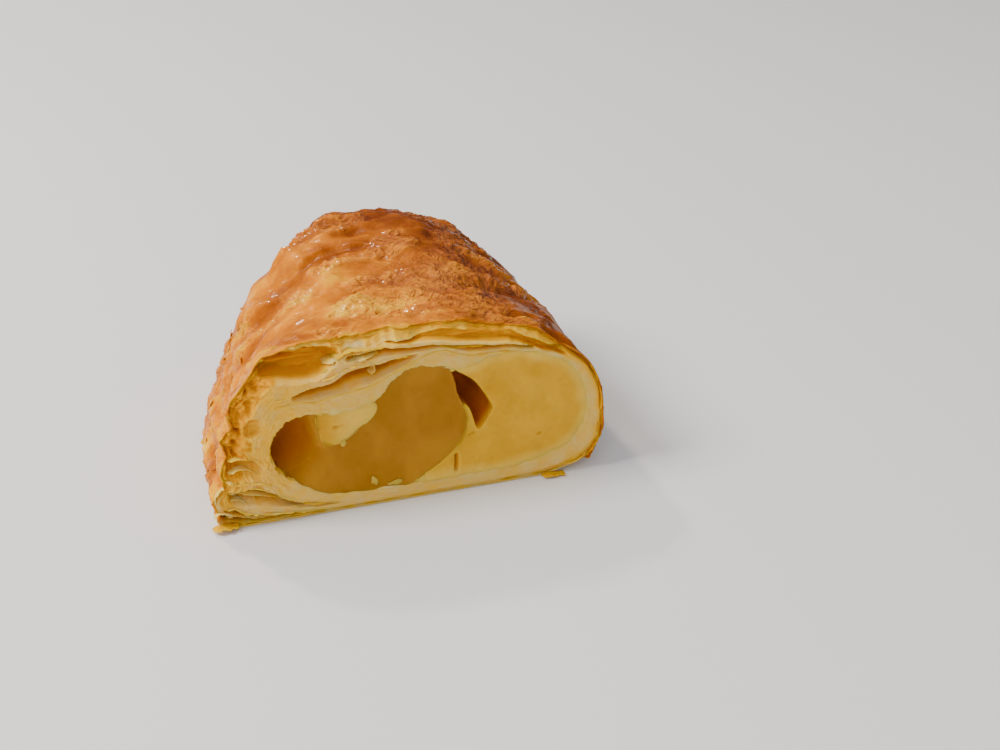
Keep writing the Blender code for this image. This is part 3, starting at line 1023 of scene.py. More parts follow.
SHEET_GAPS = (
    SheetGap(((11.6, 34.4), (13.8, 33.0), (19.2, 32.0), (22.8, 31.9), (25.3, 32.6), (30.5, 36.6)),
             ((11.6, 34.9), (14.4, 37.6), (17.0, 38.8), (24.4, 38.6), (28.6, 38.0), (30.5, 37.6)),
             6.0, 0.26),
    SheetGap(((18.6, 27.8), (23.5, 27.2), (29.7, 28.2), (35.9, 29.3), (40.7, 31.5), (46.0, 33.6)),
             ((18.6, 28.8), (22.0, 29.8), (27.1, 31.0), (30.7, 32.6), (35.0, 33.2), (46.0, 34.8)),
             7.0, 0.26, True),
    SheetGap(((30.0, 34.4), (38.0, 34.8), (50.5, 35.3), (57.1, 33.3), (66.0, 32.9), (73.0, 31.4)),
             ((30.0, 35.9), (38.0, 36.6), (48.4, 36.3), (56.0, 34.9), (66.0, 34.0), (73.0, 31.9)),
             4.0, 0.24, True),
    SheetGap(((38.0, 37.6), (46.0, 37.2), (52.0, 36.6), (57.1, 35.3), (66.0, 34.6), (80.0, 28.6)),
             ((38.0, 37.8), (46.0, 38.2), (52.0, 38.8), (57.1, 38.3), (66.0, 36.8), (80.0, 30.0)),
             2.4, 0.29),
    SheetGap(((3.6, 5.4), (9.9, 4.8), (14.0, 3.7), (17.5, 3.0), (21.0, 2.3), (27.5, 2.0)),
             ((3.6, 8.4), (8.6, 9.0), (12.1, 8.0), (15.1, 5.9), (18.2, 4.1), (27.5, 2.3)),
             7.0, 0.05, True),
    SheetGap(((0.5, 0.7), (6.0, 0.5), (12.0, 0.6), (20.0, 0.8), (26.0, 0.8)),
             ((0.5, 3.6), (5.2, 4.6), (9.1, 2.6), (14.2, 1.9), (26.0, 1.3)),
             5.0, 0.08),
    SheetGap(((3.0, 11.4), (6.4, 10.9), (9.9, 10.7), (12.4, 10.4)),
             ((3.0, 14.2), (6.8, 15.8), (9.9, 15.7), (12.4, 12.6)), 3.5, 0.06, True),
    SheetGap(((7.6, 21.6), (10.2, 21.0), (13.0, 22.2)), ((7.6, 23.6), (10.2, 25.0), (13.0, 25.0)),
             2.0, 0.16),
)


@dataclass
class LayeredCase:
    """The pale layered case: its cut face with the gaps, and the filling's pocket."""

    form: PieForm
    gaps: tuple[SheetGap, ...] = SHEET_GAPS
    levels: int = 118
    under_skin: float = 0.32
    near_inset: float = 1.2
    deep_inset: float = 3.0
    torn_share: float = 0.34
    torn_flank: float = 5.0
    strata_height: float = 0.4
    teeth: tuple = ((20.8, 24.0, 1.5, 0.35), (21.9, 24.2, 0.8, 0.25), (36.9, 24.2, 1.7, 0.8),
                    (15.2, 20.2, 0.6, 0.4), (17.3, 22.6, 0.4, 0.3), (14.0, 13.6, 0.5, 0.5))
    grain: Grain = field(default_factory=lambda: Grain(23))

    def ragged_pocket(self) -> Points:
        """The filling's outline with the small teeth of torn pastry along it.

        Returns:
            One place (x, z) for each column.
        """
        loop = self.form.pocket()
        ahead = np.roll(loop, -1, axis=0) - np.roll(loop, 1, axis=0)
        ahead /= np.maximum(np.linalg.norm(ahead, axis=1), 1e-9)[:, None]
        inward = np.stack([ahead[:, 1], -ahead[:, 0]], axis=1)
        spots = np.stack([loop[:, 0], 0 * loop[:, 0], loop[:, 1]], axis=1)
        push = 0.34 + 0.30 * self.grain.at(spots, 2.6) + 0.26 * self.grain.at(spots, 0.9)
        for x, z, reach, width in self.teeth:
            away = (loop[:, 0] - x) ** 2 + (loop[:, 1] - z) ** 2
            push = push + reach * np.exp(-away / width**2)
        return loop + inward * push[:, None]

    def face(self, outer: Points, pocket: Points, shares: Points,
             front: Points) -> tuple[Points, Points]:
        """The cut face between the skin and the filling.

        Args:
            outer: the skin's inner outline at its torn edge.
            pocket: the filling's outline.
            shares: the share of the way round of each column.
            front: how far back the skin's torn edge lies.

        Returns:
            Places, levels by columns by 3, and how brown each is, with painted shade and painted
            highlights.
        """
        level = np.linspace(0, 1, self.levels)[:, None] ** 0.9
        edge = outer[:, [0, 2]]
        plane = edge[None] + (pocket - edge)[None] * level[..., None]
        x, z = plane[..., 0], plane[..., 1]
        spots = np.stack([x, 0 * x, z], axis=-1)
        g = self.grain
        left = smooth_step(0.0, 0.03, shares) * (1 - smooth_step(0.19, 0.25, shares))
        wobble = 0.10 * g.at(spots, 4.0) + 0.06 * g.at(spots, 1.5)
        width = np.linalg.norm(pocket - edge, axis=1)[None]
        torn = width * self.torn_share * (1 - left) + self.torn_flank * left
        fade = 1 - smooth_step(0.0, 1.0, level * width / torn + wobble)
        browned = 1 - smooth_step(3.0, 5.2, level * width + 14 * wobble)
        depth = (front[None] + 0.3) * fade
        flank = left[None] * smooth_step(9, 15, z)
        tone = 0.06 + 0.04 * left + fade * 0.05 + browned * 0.30 * flank
        crag = smooth_step(0.3, 0.7, g.at(spots + 50, (2.2, 2.2, 3.0)) * 0.5 + 0.5)
        pit = smooth_step(0.25, 0.7, g.at(spots + 80, 1.5))
        mess = fade * 0.3 + browned * flank
        depth = depth + (0.8 * crag + 0.5 * pit + 0.35 * g.creased(spots, (1.6, 1.6, 1.1))) * mess
        tone = tone + (0.12 * crag + 0.14 * pit) * mess
        # A deeper golden band along the top of the cut face: painted shade under the skin's
        # overhanging lip.
        roof = smooth_step(0.2, 0.3, shares) * (1 - smooth_step(0.7, 0.8, shares))
        tone = np.maximum(tone, 0.30 * roof[None] * np.exp(-level * width / 1.6))
        for gap in self.gaps:
            hollow = gap.hollow(x, z + 0.35 * g.at(spots, (6, 6, 3)))
            ruffle = 1 + 0.22 * g.at(spots, (7, 7, 1.4)) + 0.12 * g.at(spots, (3, 3, 0.9))
            depth = np.maximum(depth, gap.depth * hollow * ruffle)
            # Painted shade: the inside of each gap takes a deeper golden tone.
            tone = np.maximum(tone, gap.tone * smooth_step(0.05, 0.55, hollow))
        across = np.stack([level * 12 + 0.5 * g.at(spots, 5.0), x / 7, z / 7], axis=-1)
        strata = g.creased(across, 1.0) + 0.5 * g.creased(across * 2 + 5, 1.0)
        seam = 0.6 * (1 - smooth_step(10, 26, x)) * (1 - smooth_step(13, 19, z))
        sheeted = np.maximum(np.maximum(0.8 * fade, seam), 0.15 * left)
        strength = self.strata_height * (0.12 + 0.88 * sheeted)
        depth = depth - np.clip(strata, -0.8, 1.2) * strength
        depth = depth + 0.16 * g.layered(spots, 2.4) + 0.09 * g.layered(spots, 0.9, 2)
        rounding = 0.12 * smooth_step(0.95, 1.0, level)
        face = np.stack([x, np.maximum(depth + rounding, -0.4), z], axis=-1)
        # Random toasting, plus painted highlights on the forward strata and painted shade in the
        # grooves between them.
        toast_and_strata_light = 0.07 * g.at(spots, 3.0) + 0.05 * g.at(spots, 1.2) - 0.05 * strata * sheeted
        return face, np.clip(tone + toast_and_strata_light * (0.3 + fade), 0.0, 0.9)

    def build(self, skin: BakedSkin) -> bpy.types.Object:
        """Lofts the case from its far end over the cut face into the pocket.

        Args:
            skin: the skin that lies over the case.

        Returns:
            The case's object.
        """
        angles, shares = self.form.angles(), self.form.shares()
        front = skin.front(shares, self.form.outline(0.0, angles))
        t = np.linspace(0, 1, 14)[:, None] ** 1.8
        depths = front[None] + 0.3 + (self.form.wall_depth - 2 - front[None]) * t
        plain = self.form.outline(depths, np.broadcast_to(angles, depths.shape))
        normals = outward_normals(plain, 5)
        behind = depths - front[None]
        inset = self.under_skin + self.near_inset * smooth_step(0.3, 5.0, behind)
        inset = inset + self.deep_inset * smooth_step(4.0, 12.0, behind)
        fine = skin.fine_relief(plain, normals)[0] * smooth_step(0.1, 2.5, plain[..., 2])
        fine = fine * (smooth_step(-0.2, 3.0, behind) * 0.6 + 0.4) * (1 - smooth_step(3, 9, behind))
        side = plain + normals * (solid_relief(plain, normals) + fine - inset)[..., None]
        side[..., 2] = np.maximum(side[..., 2], 0.35)
        pocket = self.ragged_pocket()
        face, tone = self.face(side[0], pocket, shares, front)
        turns = np.radians([4, 9, 16, 26, 38, 52, 68, 82])
        inner = []
        for depth in self.form.pocket_depth * np.sin(turns) ** (2 / self.form.pocket_close):
            inner.append(self.form.pocket_at(pocket, float(depth)))
        rows = np.concatenate([side[::-1], face[1:], np.array(inner)])
        paints = {"bake": np.concatenate([
            np.full(side.shape[:2], 0.3), tone[1:], np.full((len(inner), len(angles)), 0.3)])}
        return loft("layered_case", rows, paints)


# Thin sheets


@dataclass(frozen=True)
class Leaf:
    """One thin sheet of pastry whose torn edge shows at the cut."""

    path: tuple
    front: float = 0.3
    reach: float = 8.0
    thickness: float = 0.32
    ragged: float = 0.6
    tone: float = 0.1
    toasted: float = 0.12
    wave: float = 0.35


LEAVES = (
    Leaf(((24.0, 31.9), (27.3, 34.4), (30.3, 36.7), (34.7, 37.0), (40.9, 37.1), (48.4, 36.5),
          (54.9, 34.6), (61.5, 34.3), (67.0, 33.6)), front=0.2, reach=7.0, ragged=0.9, tone=0.12),
    Leaf(((11.0, 28.3), (16.6, 28.9), (19.2, 30.8), (22.7, 31.6), (26.5, 32.0), (30.1, 33.3),
          (34.6, 34.1), (40.0, 34.4), (47.0, 35.4)), front=0.0, ragged=1.3, tone=0.05, wave=0.5),
    Leaf(((12.0, 26.6), (17.0, 27.2), (20.4, 27.6), (23.5, 27.1), (29.7, 28.0), (35.9, 29.2),
          (40.7, 31.3), (44.4, 32.9), (50.5, 34.6), (57.1, 32.6), (63.8, 32.4), (69.0, 31.9)),
         front=-0.3, reach=6.0, thickness=0.45, ragged=0.4, tone=0.03, wave=0.25),
    Leaf(((4.8, 15.4), (6.0, 16.3), (7.8, 16.5), (10.2, 16.0), (12.0, 14.2), (12.8, 11.4),
          (14.4, 8.8)), front=0.0, reach=7.0, tone=0.06),
    Leaf(((3.8, 11.2), (5.0, 11.2), (6.4, 10.5), (8.4, 10.8), (11.0, 10.2), (14.0, 8.9)),
         front=-0.4, reach=5.0, thickness=0.4, tone=0.04),
    Leaf(((3.6, 9.1), (6.3, 9.3), (9.0, 9.3), (12.1, 8.3), (15.1, 6.2), (18.2, 4.3), (22.0, 2.9),
          (29.0, 2.5)), front=-0.2, reach=5.0, tone=0.05, ragged=0.5),
    Leaf(((3.0, 4.5), (5.2, 5.0), (9.1, 2.9), (14.2, 2.2), (18.5, 2.0), (24.0, 1.3)),
         front=-0.5, reach=5.0, thickness=0.3, ragged=1.1, tone=0.02, wave=0.4),
    Leaf(((2.4, 1.6), (4.4, 1.4), (8.0, 0.8), (16.0, 0.6), (26.0, 0.5)),
         front=0.6, reach=4.0, thickness=0.4, ragged=1.0, toasted=0.06),
    Leaf(((76.0, 31.6), (79.0, 29.8), (84.0, 25.0), (86.8, 19.0), (87.2, 12.0), (85.0, 6.0),
          (80.0, 2.4)), front=0.5, reach=5.0, thickness=0.3, tone=0.18),
    Leaf(((26.0, 34.4), (28.4, 35.2), (31.5, 35.0), (34.4, 35.6), (38.0, 35.8)),
         front=0.4, reach=5.0, thickness=0.25, ragged=1.3, tone=0.03, toasted=0.03, wave=0.5),
    Leaf(((13.8, 29.8), (15.4, 29.4), (18.0, 29.8), (21.0, 31.0)),
         front=0.2, reach=5.0, thickness=0.2, ragged=1.3, tone=0.06, toasted=0.1),
    Leaf(((10.4, 26.4), (12.4, 25.2), (15.0, 25.0), (18.0, 25.9)),
         front=-0.1, reach=4.0, thickness=0.25, ragged=0.8, tone=0.02, toasted=0.03),
    Leaf(((4.4, 12.8), (6.6, 13.6), (8.8, 13.3), (10.6, 12.2), (11.8, 10.6)),
         front=0.4, reach=7.0, thickness=0.22, ragged=0.8, tone=0.03, toasted=0.05),
    Leaf(((3.4, 7.4), (6.0, 8.2), (9.0, 7.6), (12.4, 6.2), (15.6, 4.6), (19.4, 3.2)),
         front=1.0, reach=7.0, thickness=0.22, ragged=1.2, tone=0.02, toasted=0.03),
    Leaf(((2.8, 5.6), (6.0, 6.3), (9.4, 5.0), (13.0, 4.2), (17.0, 3.2), (21.0, 2.6)),
         front=0.8, reach=7.0, thickness=0.22, ragged=1.3, tone=0.02, toasted=0.03),
    Leaf(((3.0, 3.2), (5.0, 3.2), (7.4, 2.0), (11.0, 1.5), (15.0, 1.2)),
         front=0.2, reach=4.0, thickness=0.25, ragged=1.2, tone=0.02, toasted=0.03),
    Leaf(((79.0, 31.2), (83.0, 28.2), (85.8, 24.0), (87.4, 19.0)),
         front=0.1, reach=1.8, thickness=0.3, ragged=0.7, tone=0.66, toasted=0.05),
    Leaf(((84.0, 27.0), (86.4, 22.8), (87.5, 17.6), (87.2, 14.0)),
         front=-0.3, reach=2.0, thickness=0.25, ragged=0.9, tone=0.42, toasted=0.1),
    Leaf(((86.6, 12.4), (87.2, 8.6), (85.6, 4.8), (83.0, 2.4)),
         front=-0.2, reach=2.0, thickness=0.25, ragged=0.9, tone=0.5, toasted=0.1),
    Leaf(((87.9, 11.0), (87.6, 7.4), (86.2, 4.2), (84.6, 1.8)),
         front=0.2, reach=1.6, thickness=0.25, ragged=0.9, tone=0.7, toasted=0.05),
    Leaf(((73.6, 0.28), (75.0, 0.6), (77.0, 0.4), (79.0, 0.3)),
         front=-1.9, reach=0.4, thickness=0.16, ragged=1.7, tone=0.34, wave=0.08),
    Leaf(((0.2, 0.5), (1.4, 1.2), (3.2, 1.3), (6.0, 1.0)),
         front=-1.0, reach=0.9, thickness=0.18, ragged=1.8, tone=0.24, toasted=0.05),
    Leaf(((0.8, 3.2), (1.6, 4.4), (3.0, 4.2), (5.0, 3.4)),
         front=-0.5, reach=0.8, thickness=0.2, ragged=1.4, tone=0.03, toasted=0.0),
    Leaf(((1.6, 6.8), (1.5, 8.2), (2.2, 9.6), (3.6, 10.4)),
         front=-0.3, reach=0.7, thickness=0.18, ragged=1.1, tone=0.04, toasted=0.0),
    Leaf(((34.6, 34.6), (36.2, 33.6), (36.4, 32.2), (35.4, 31.4)),
         front=-0.2, reach=3.0, thickness=0.3, ragged=0.5, tone=0.02, toasted=0.0),
)


@dataclass
class ThinSheets:
    """All the thin sheets that open at the cut."""

    leaves: tuple[Leaf, ...] = LEAVES
    grain: Grain = field(default_factory=lambda: Grain(37))

    def leaf(self, number: int, leaf: Leaf) -> bpy.types.Object:
        """Makes one sheet as a closed thin solid.

        Args:
            number: the sheet's place in the list, which varies its waves.
            leaf: its sizes.

        Returns:
            The sheet's object.
        """
        length = sum(math.dist(a, b) for a, b in zip(leaf.path, leaf.path[1:]))
        path = open_spline(leaf.path, max(24, int(length / 0.2)))
        ahead = np.gradient(path, axis=0)
        ahead /= np.linalg.norm(ahead, axis=1)[:, None]
        up = np.stack([-ahead[:, 1], ahead[:, 0]], axis=1)
        spots = np.stack([path[:, 0], np.full(len(path), 13.0 * number), path[:, 1]], axis=1)
        torn = leaf.front + leaf.ragged * (
            0.6 * self.grain.at(spots, 3.4) + 0.45 * self.grain.at(spots, 1.2)
            + 0.3 * self.grain.at(spots, 0.5))
        ends = smooth_step(0, 0.08, np.linspace(0, 1, len(path)))
        ends = ends * ends[::-1]
        torn = torn + (1 - ends) * 1.6
        steps = np.linspace(0, 1, 12) ** 1.5
        rows, tones = [], []
        for side in (1, -1):
            for k, step in enumerate(steps if side == 1 else steps[::-1]):
                y = torn + (leaf.reach - torn) * step
                here = np.stack([path[:, 0], y, path[:, 1]], axis=1)
                lift = leaf.wave * self.grain.at(here + 13 * number, (5, 4, 5)) * (1 - step)
                half = leaf.thickness / 2 * (0.3 + 0.5 * smooth_step(0, 0.3, step)) * (
                    0.3 + 0.7 * ends)
                shift = up * (lift + side * half)[:, None]
                rows.append(here + np.stack([shift[:, 0], 0 * lift, shift[:, 1]], axis=1))
                # The torn edge is toasted; further in from it the sheet turns a little darker,
                # painted shade between the sheets.
                tones.append(leaf.tone + leaf.toasted * math.exp(-step * 14) + 0.06 * step
                             + 0.05 * self.grain.at(here, 2.5))
        loop = np.transpose(np.array(rows), (1, 0, 2))
        return loft(f"sheet_{number}", loop, {"bake": np.clip(np.array(tones).T, 0, 0.9)})

    def build(self) -> bpy.types.Object:
        """Makes every sheet and joins them.

        Returns:
            The joined sheets.
        """
        made = [self.leaf(number, leaf) for number, leaf in enumerate(self.leaves)]
        return join("thin_sheets", made)


# The filling


@dataclass
class Filling:
    """The custard, its dollop and the apple chunk, softened from their solids."""

    voxel: float = 0.48
    cut_depth: float = 0.12
    hollow_middle: tuple[float, float, float] = (15.2, -0.5, 18.0)
    hollow_reach: tuple[float, float, float] = (8.6, 9.5, 7.4)
    air_middle: tuple[float, float, float] = (57.6, 6.0, 21.0)
    dollop_outline: tuple = (
        (30.0, 26.0), (36.2, 24.6), (35.8, 22.0), (33.0, 19.6), (29.8, 17.4), (27.2, 16.4),
        (24.8, 17.2), (24.2, 20.0), (23.9, 24.0))
    grain: Grain = field(default_factory=lambda: Grain(53))

    def soften(self, node: str, name: str, grow: float,
               relief: Callable[[Points, Points], Points]) -> bpy.types.Object:
        """A finer, softer copy of a solid.

        Args:
            node: the solid's name.
            name: the new piece's name.
            grow: how far its surface moves out, in millimetres.
            relief: extra height at places with their normals, in millimetres.

        Returns:
            The new object, which replaces the solid.
        """
        obj = new_object(name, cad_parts[node].data.copy())
        bm = bmesh.new()
        bm.from_mesh(obj.data)
        bmesh.ops.remove_doubles(bm, verts=bm.verts, dist=1e-6)
        bm.to_mesh(obj.data)
        bm.free()
        obj.data.materials.clear()
        remesh = obj.modifiers.new("even", "REMESH")
        remesh.mode = "VOXEL"
        remesh.voxel_size = self.voxel * MM
        smooth = obj.modifiers.new("soft", "SMOOTH")
        smooth.iterations = 3
        graph = bpy.context.evaluated_depsgraph_get()
        mesh = bpy.data.meshes.new_from_object(obj.evaluated_get(graph))
        obj.modifiers.clear()
        obj.data = mesh
        mesh.name = name
        bm = bmesh.new()
        bm.from_mesh(mesh)
        cut = (SEAM_TIP[1] + 1.5) * MM
        at_cut = [part for part in bm.faces if part.calc_center_median().y < cut]
        edges = {edge for part in at_cut for edge in part.edges}
        bmesh.ops.subdivide_edges(bm, edges=list(edges), cuts=1, use_grid_fill=True)
        bmesh.ops.triangulate(bm, faces=[f for f in bm.faces if len(f.verts) > 4])
        bm.to_mesh(mesh)
        bm.free()
        normals = np.empty(len(mesh.vertices) * 3)
        mesh.vertices.foreach_get("normal", normals)
        normals = normals.reshape(-1, 3)
        spots = spots_of(mesh)
        moved = spots + normals * grow
        near = 1 - smooth_step(0.6, 1.8, moved[:, 1] + 0.4)
        moved[:, 1] = moved[:, 1] * (1 - near) + self.cut_depth * near
        moved = moved + normals * relief(spots, normals)[:, None]
        if node == "apple_chunk":
            moved = self.soft_hollow(moved, normals)
        put_spots(mesh, moved)
        mesh.shade_smooth()
        mesh.update()
        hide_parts(node)
        return obj

    def custard_relief(self, spots: Points, normals: Points) -> Points:
        """Soft lumps, small pits and a short slit on the cut custard.

        Args:
            spots: the custard's points.
            normals: their normals.

        Returns:
            How far each point moves out.
        """
        g = self.grain
        cut = smooth_step(0.3, 0.8, -normals[:, 1])
        lumps = 0.60 * g.at(spots, 9.0) + 0.34 * g.at(spots, 3.8) + 0.10 * g.at(spots, 1.5)
        pits = -0.7 * smooth_step(0.66, 0.85, g.at(spots + 19, 2.4))
        lean = spots[:, 0] - 53.9 - 0.05 * (spots[:, 2] - 7)
        slit = -2.8 * np.exp(-(lean / 0.32) ** 2) * (
            smooth_step(4.8, 5.6, spots[:, 2]) * (1 - smooth_step(8.4, 9.6, spots[:, 2])))
        return cut * (lumps + pits + slit)

    def apple_relief(self, spots: Points, normals: Points) -> Points:
        """A knife-cut face with faint waves.

        Args:
            spots: the apple's points.
            normals: their normals.

        Returns:
            How far each point moves out.
        """
        cut = smooth_step(0.3, 0.8, -normals[:, 1])
        return cut * (0.30 * self.grain.at(spots, 8.0) + 0.08 * self.grain.at(spots, 2.2) - 0.15)

    def soft_hollow(self, spots: Points, normals: Points) -> Points:
        """Lets the hollow in the apple run out gently into the cut face.

        Args:
            spots: the apple's points.
            normals: their normals.

        Returns:
            The points, with those in and round the hollow at new depths.
        """
        reach = np.array(self.hollow_reach)
        offset = (spots - np.array(self.hollow_middle)) / reach
        away = np.hypot(offset[:, 0], offset[:, 2])
        whole = np.linalg.norm(offset, axis=1)
        bowl = (whole > 0.84) & (whole < 1.07) & (spots[:, 1] > self.cut_depth)
        front = smooth_step(0.3, 0.6, -normals[:, 1]) * (spots[:, 1] < 1.5)
        beside = outline_distance(spots[:, [0, 2]], self.dollop_outline)
        depth = 7.5 * (1 - smooth_step(0.1, 1.6, away)) * smooth_step(0.3, 2.6, beside)
        share = np.where(bowl, 1.0, front) * (away < 1.65) * (beside > 0.3)
        floor = np.where(bowl, self.cut_depth + 0.3 * self.grain.at(spots, 4.0), spots[:, 1])
        moved = spots.copy()
        moved[:, 1] = spots[:, 1] * (1 - share) + (depth + floor) * share
        return moved

    def tint(self, obj: bpy.types.Object, middle: Sequence[float], reach: Sequence[float],
             shallow: tuple[float, float]) -> None:
        """Paints shade deepening into a hollow (painted shade), and the paler rim by the pastry.

        Args:
            obj: the piece.
            middle: the hollow's middle.
            reach: its half sizes.
            shallow: depths between which the colour comes in.
        """
        spots = spots_of(obj.data)
        away = np.linalg.norm((spots - np.array(middle)) / np.array(reach), axis=1)
        inside = 1 - smooth_step(0.9, 1.25, away)
        # Painted shade, stronger deeper into the hollow.
        paint(obj.data, "hollow", inside * smooth_step(*shallow, spots[:, 1]))
        edge = closed_spline(np.array(PieForm().pocket_outline), 6)
        within = -outline_distance(spots[:, [0, 2]], edge)
        ragged = within + 0.9 * self.grain.at(spots, 5.0)
        paint(obj.data, "rim", 1 - smooth_step(0.3, 3.2, ragged))

    def smears(self) -> bpy.types.Object:
        """Small smears of custard left on the apple by the knife.

        Returns:
            The smears as one piece.
        """
        places = ((35.5, 6.0, 0.6, 1.0, 0.5), (40.1, 4.7, 1.3, 0.6, 0.3),
                  (29.0, 16.4, 0.6, 0.7, 0.1))
        bm = bmesh.new()
        for number, (x, z, wide, tall, turn) in enumerate(places):
            made = bmesh.ops.create_icosphere(bm, subdivisions=3, radius=1.0)["verts"]
            ball = np.array([v.co for v in made])
            lumpy = ball * (1 + 0.8 * self.grain.at(ball + 9 * number, 0.9))[:, None]
            x0 = lumpy[:, 0] * wide
            z0 = lumpy[:, 2] * tall
            spots = np.stack([
                x + x0 * math.cos(turn) - z0 * math.sin(turn), 0.15 + 0.14 * lumpy[:, 1],
                z + x0 * math.sin(turn) + z0 * math.cos(turn)], axis=1)
            for vert, spot in zip(made, (spots + SEAM_TIP) * MM):
                vert.co = spot
        mesh = bpy.data.meshes.new("custard_smears")
        bm.to_mesh(mesh)
        bm.free()
        mesh.shade_smooth()
        paint(mesh, "hollow", np.zeros(len(mesh.vertices)))
        paint(mesh, "rim", np.full(len(mesh.vertices), 0.6))
        return new_object("custard_smears", mesh)

    def build(self, custard: bpy.types.Material, apple: bpy.types.Material) -> None:
        """Makes and dresses the pieces of the filling.

        Args:
            custard: the custard's material.
            apple: the apple's material.
        """
        cream = self.soften("custard", "custard_filling", 0.3, self.custard_relief)
        dollop = self.soften("custard_dollop", "dollop_of_custard", 0.3, self.custard_relief)
        chunk = self.soften("apple_chunk", "cooked_apple_chunk", 0.34, self.apple_relief)
        self.tint(cream, self.air_middle, (7.0, 14.0, 10.0), (0.8, 3.4))
        across = spots_of(dollop.data)[:, 0]
        # Painted shade: the dollop darkens towards its top-left and pales towards its right.
        paint(dollop.data, "hollow", 0.3 * (1 - smooth_step(24.0, 28.0, across)))
        paint(dollop.data, "rim", smooth_step(25.5, 31.0, across))
        self.tint(chunk, self.hollow_middle, (14.0, 14.0, 12.0), (0.3, 6.0))
        for obj, material, slot in (
                (cream, custard, Slot.CUSTARD), (dollop, custard, Slot.CUSTARD),
                (self.smears(), custard, Slot.CUSTARD), (chunk, apple, Slot.APPLE)):
            finish_piece(obj, material)
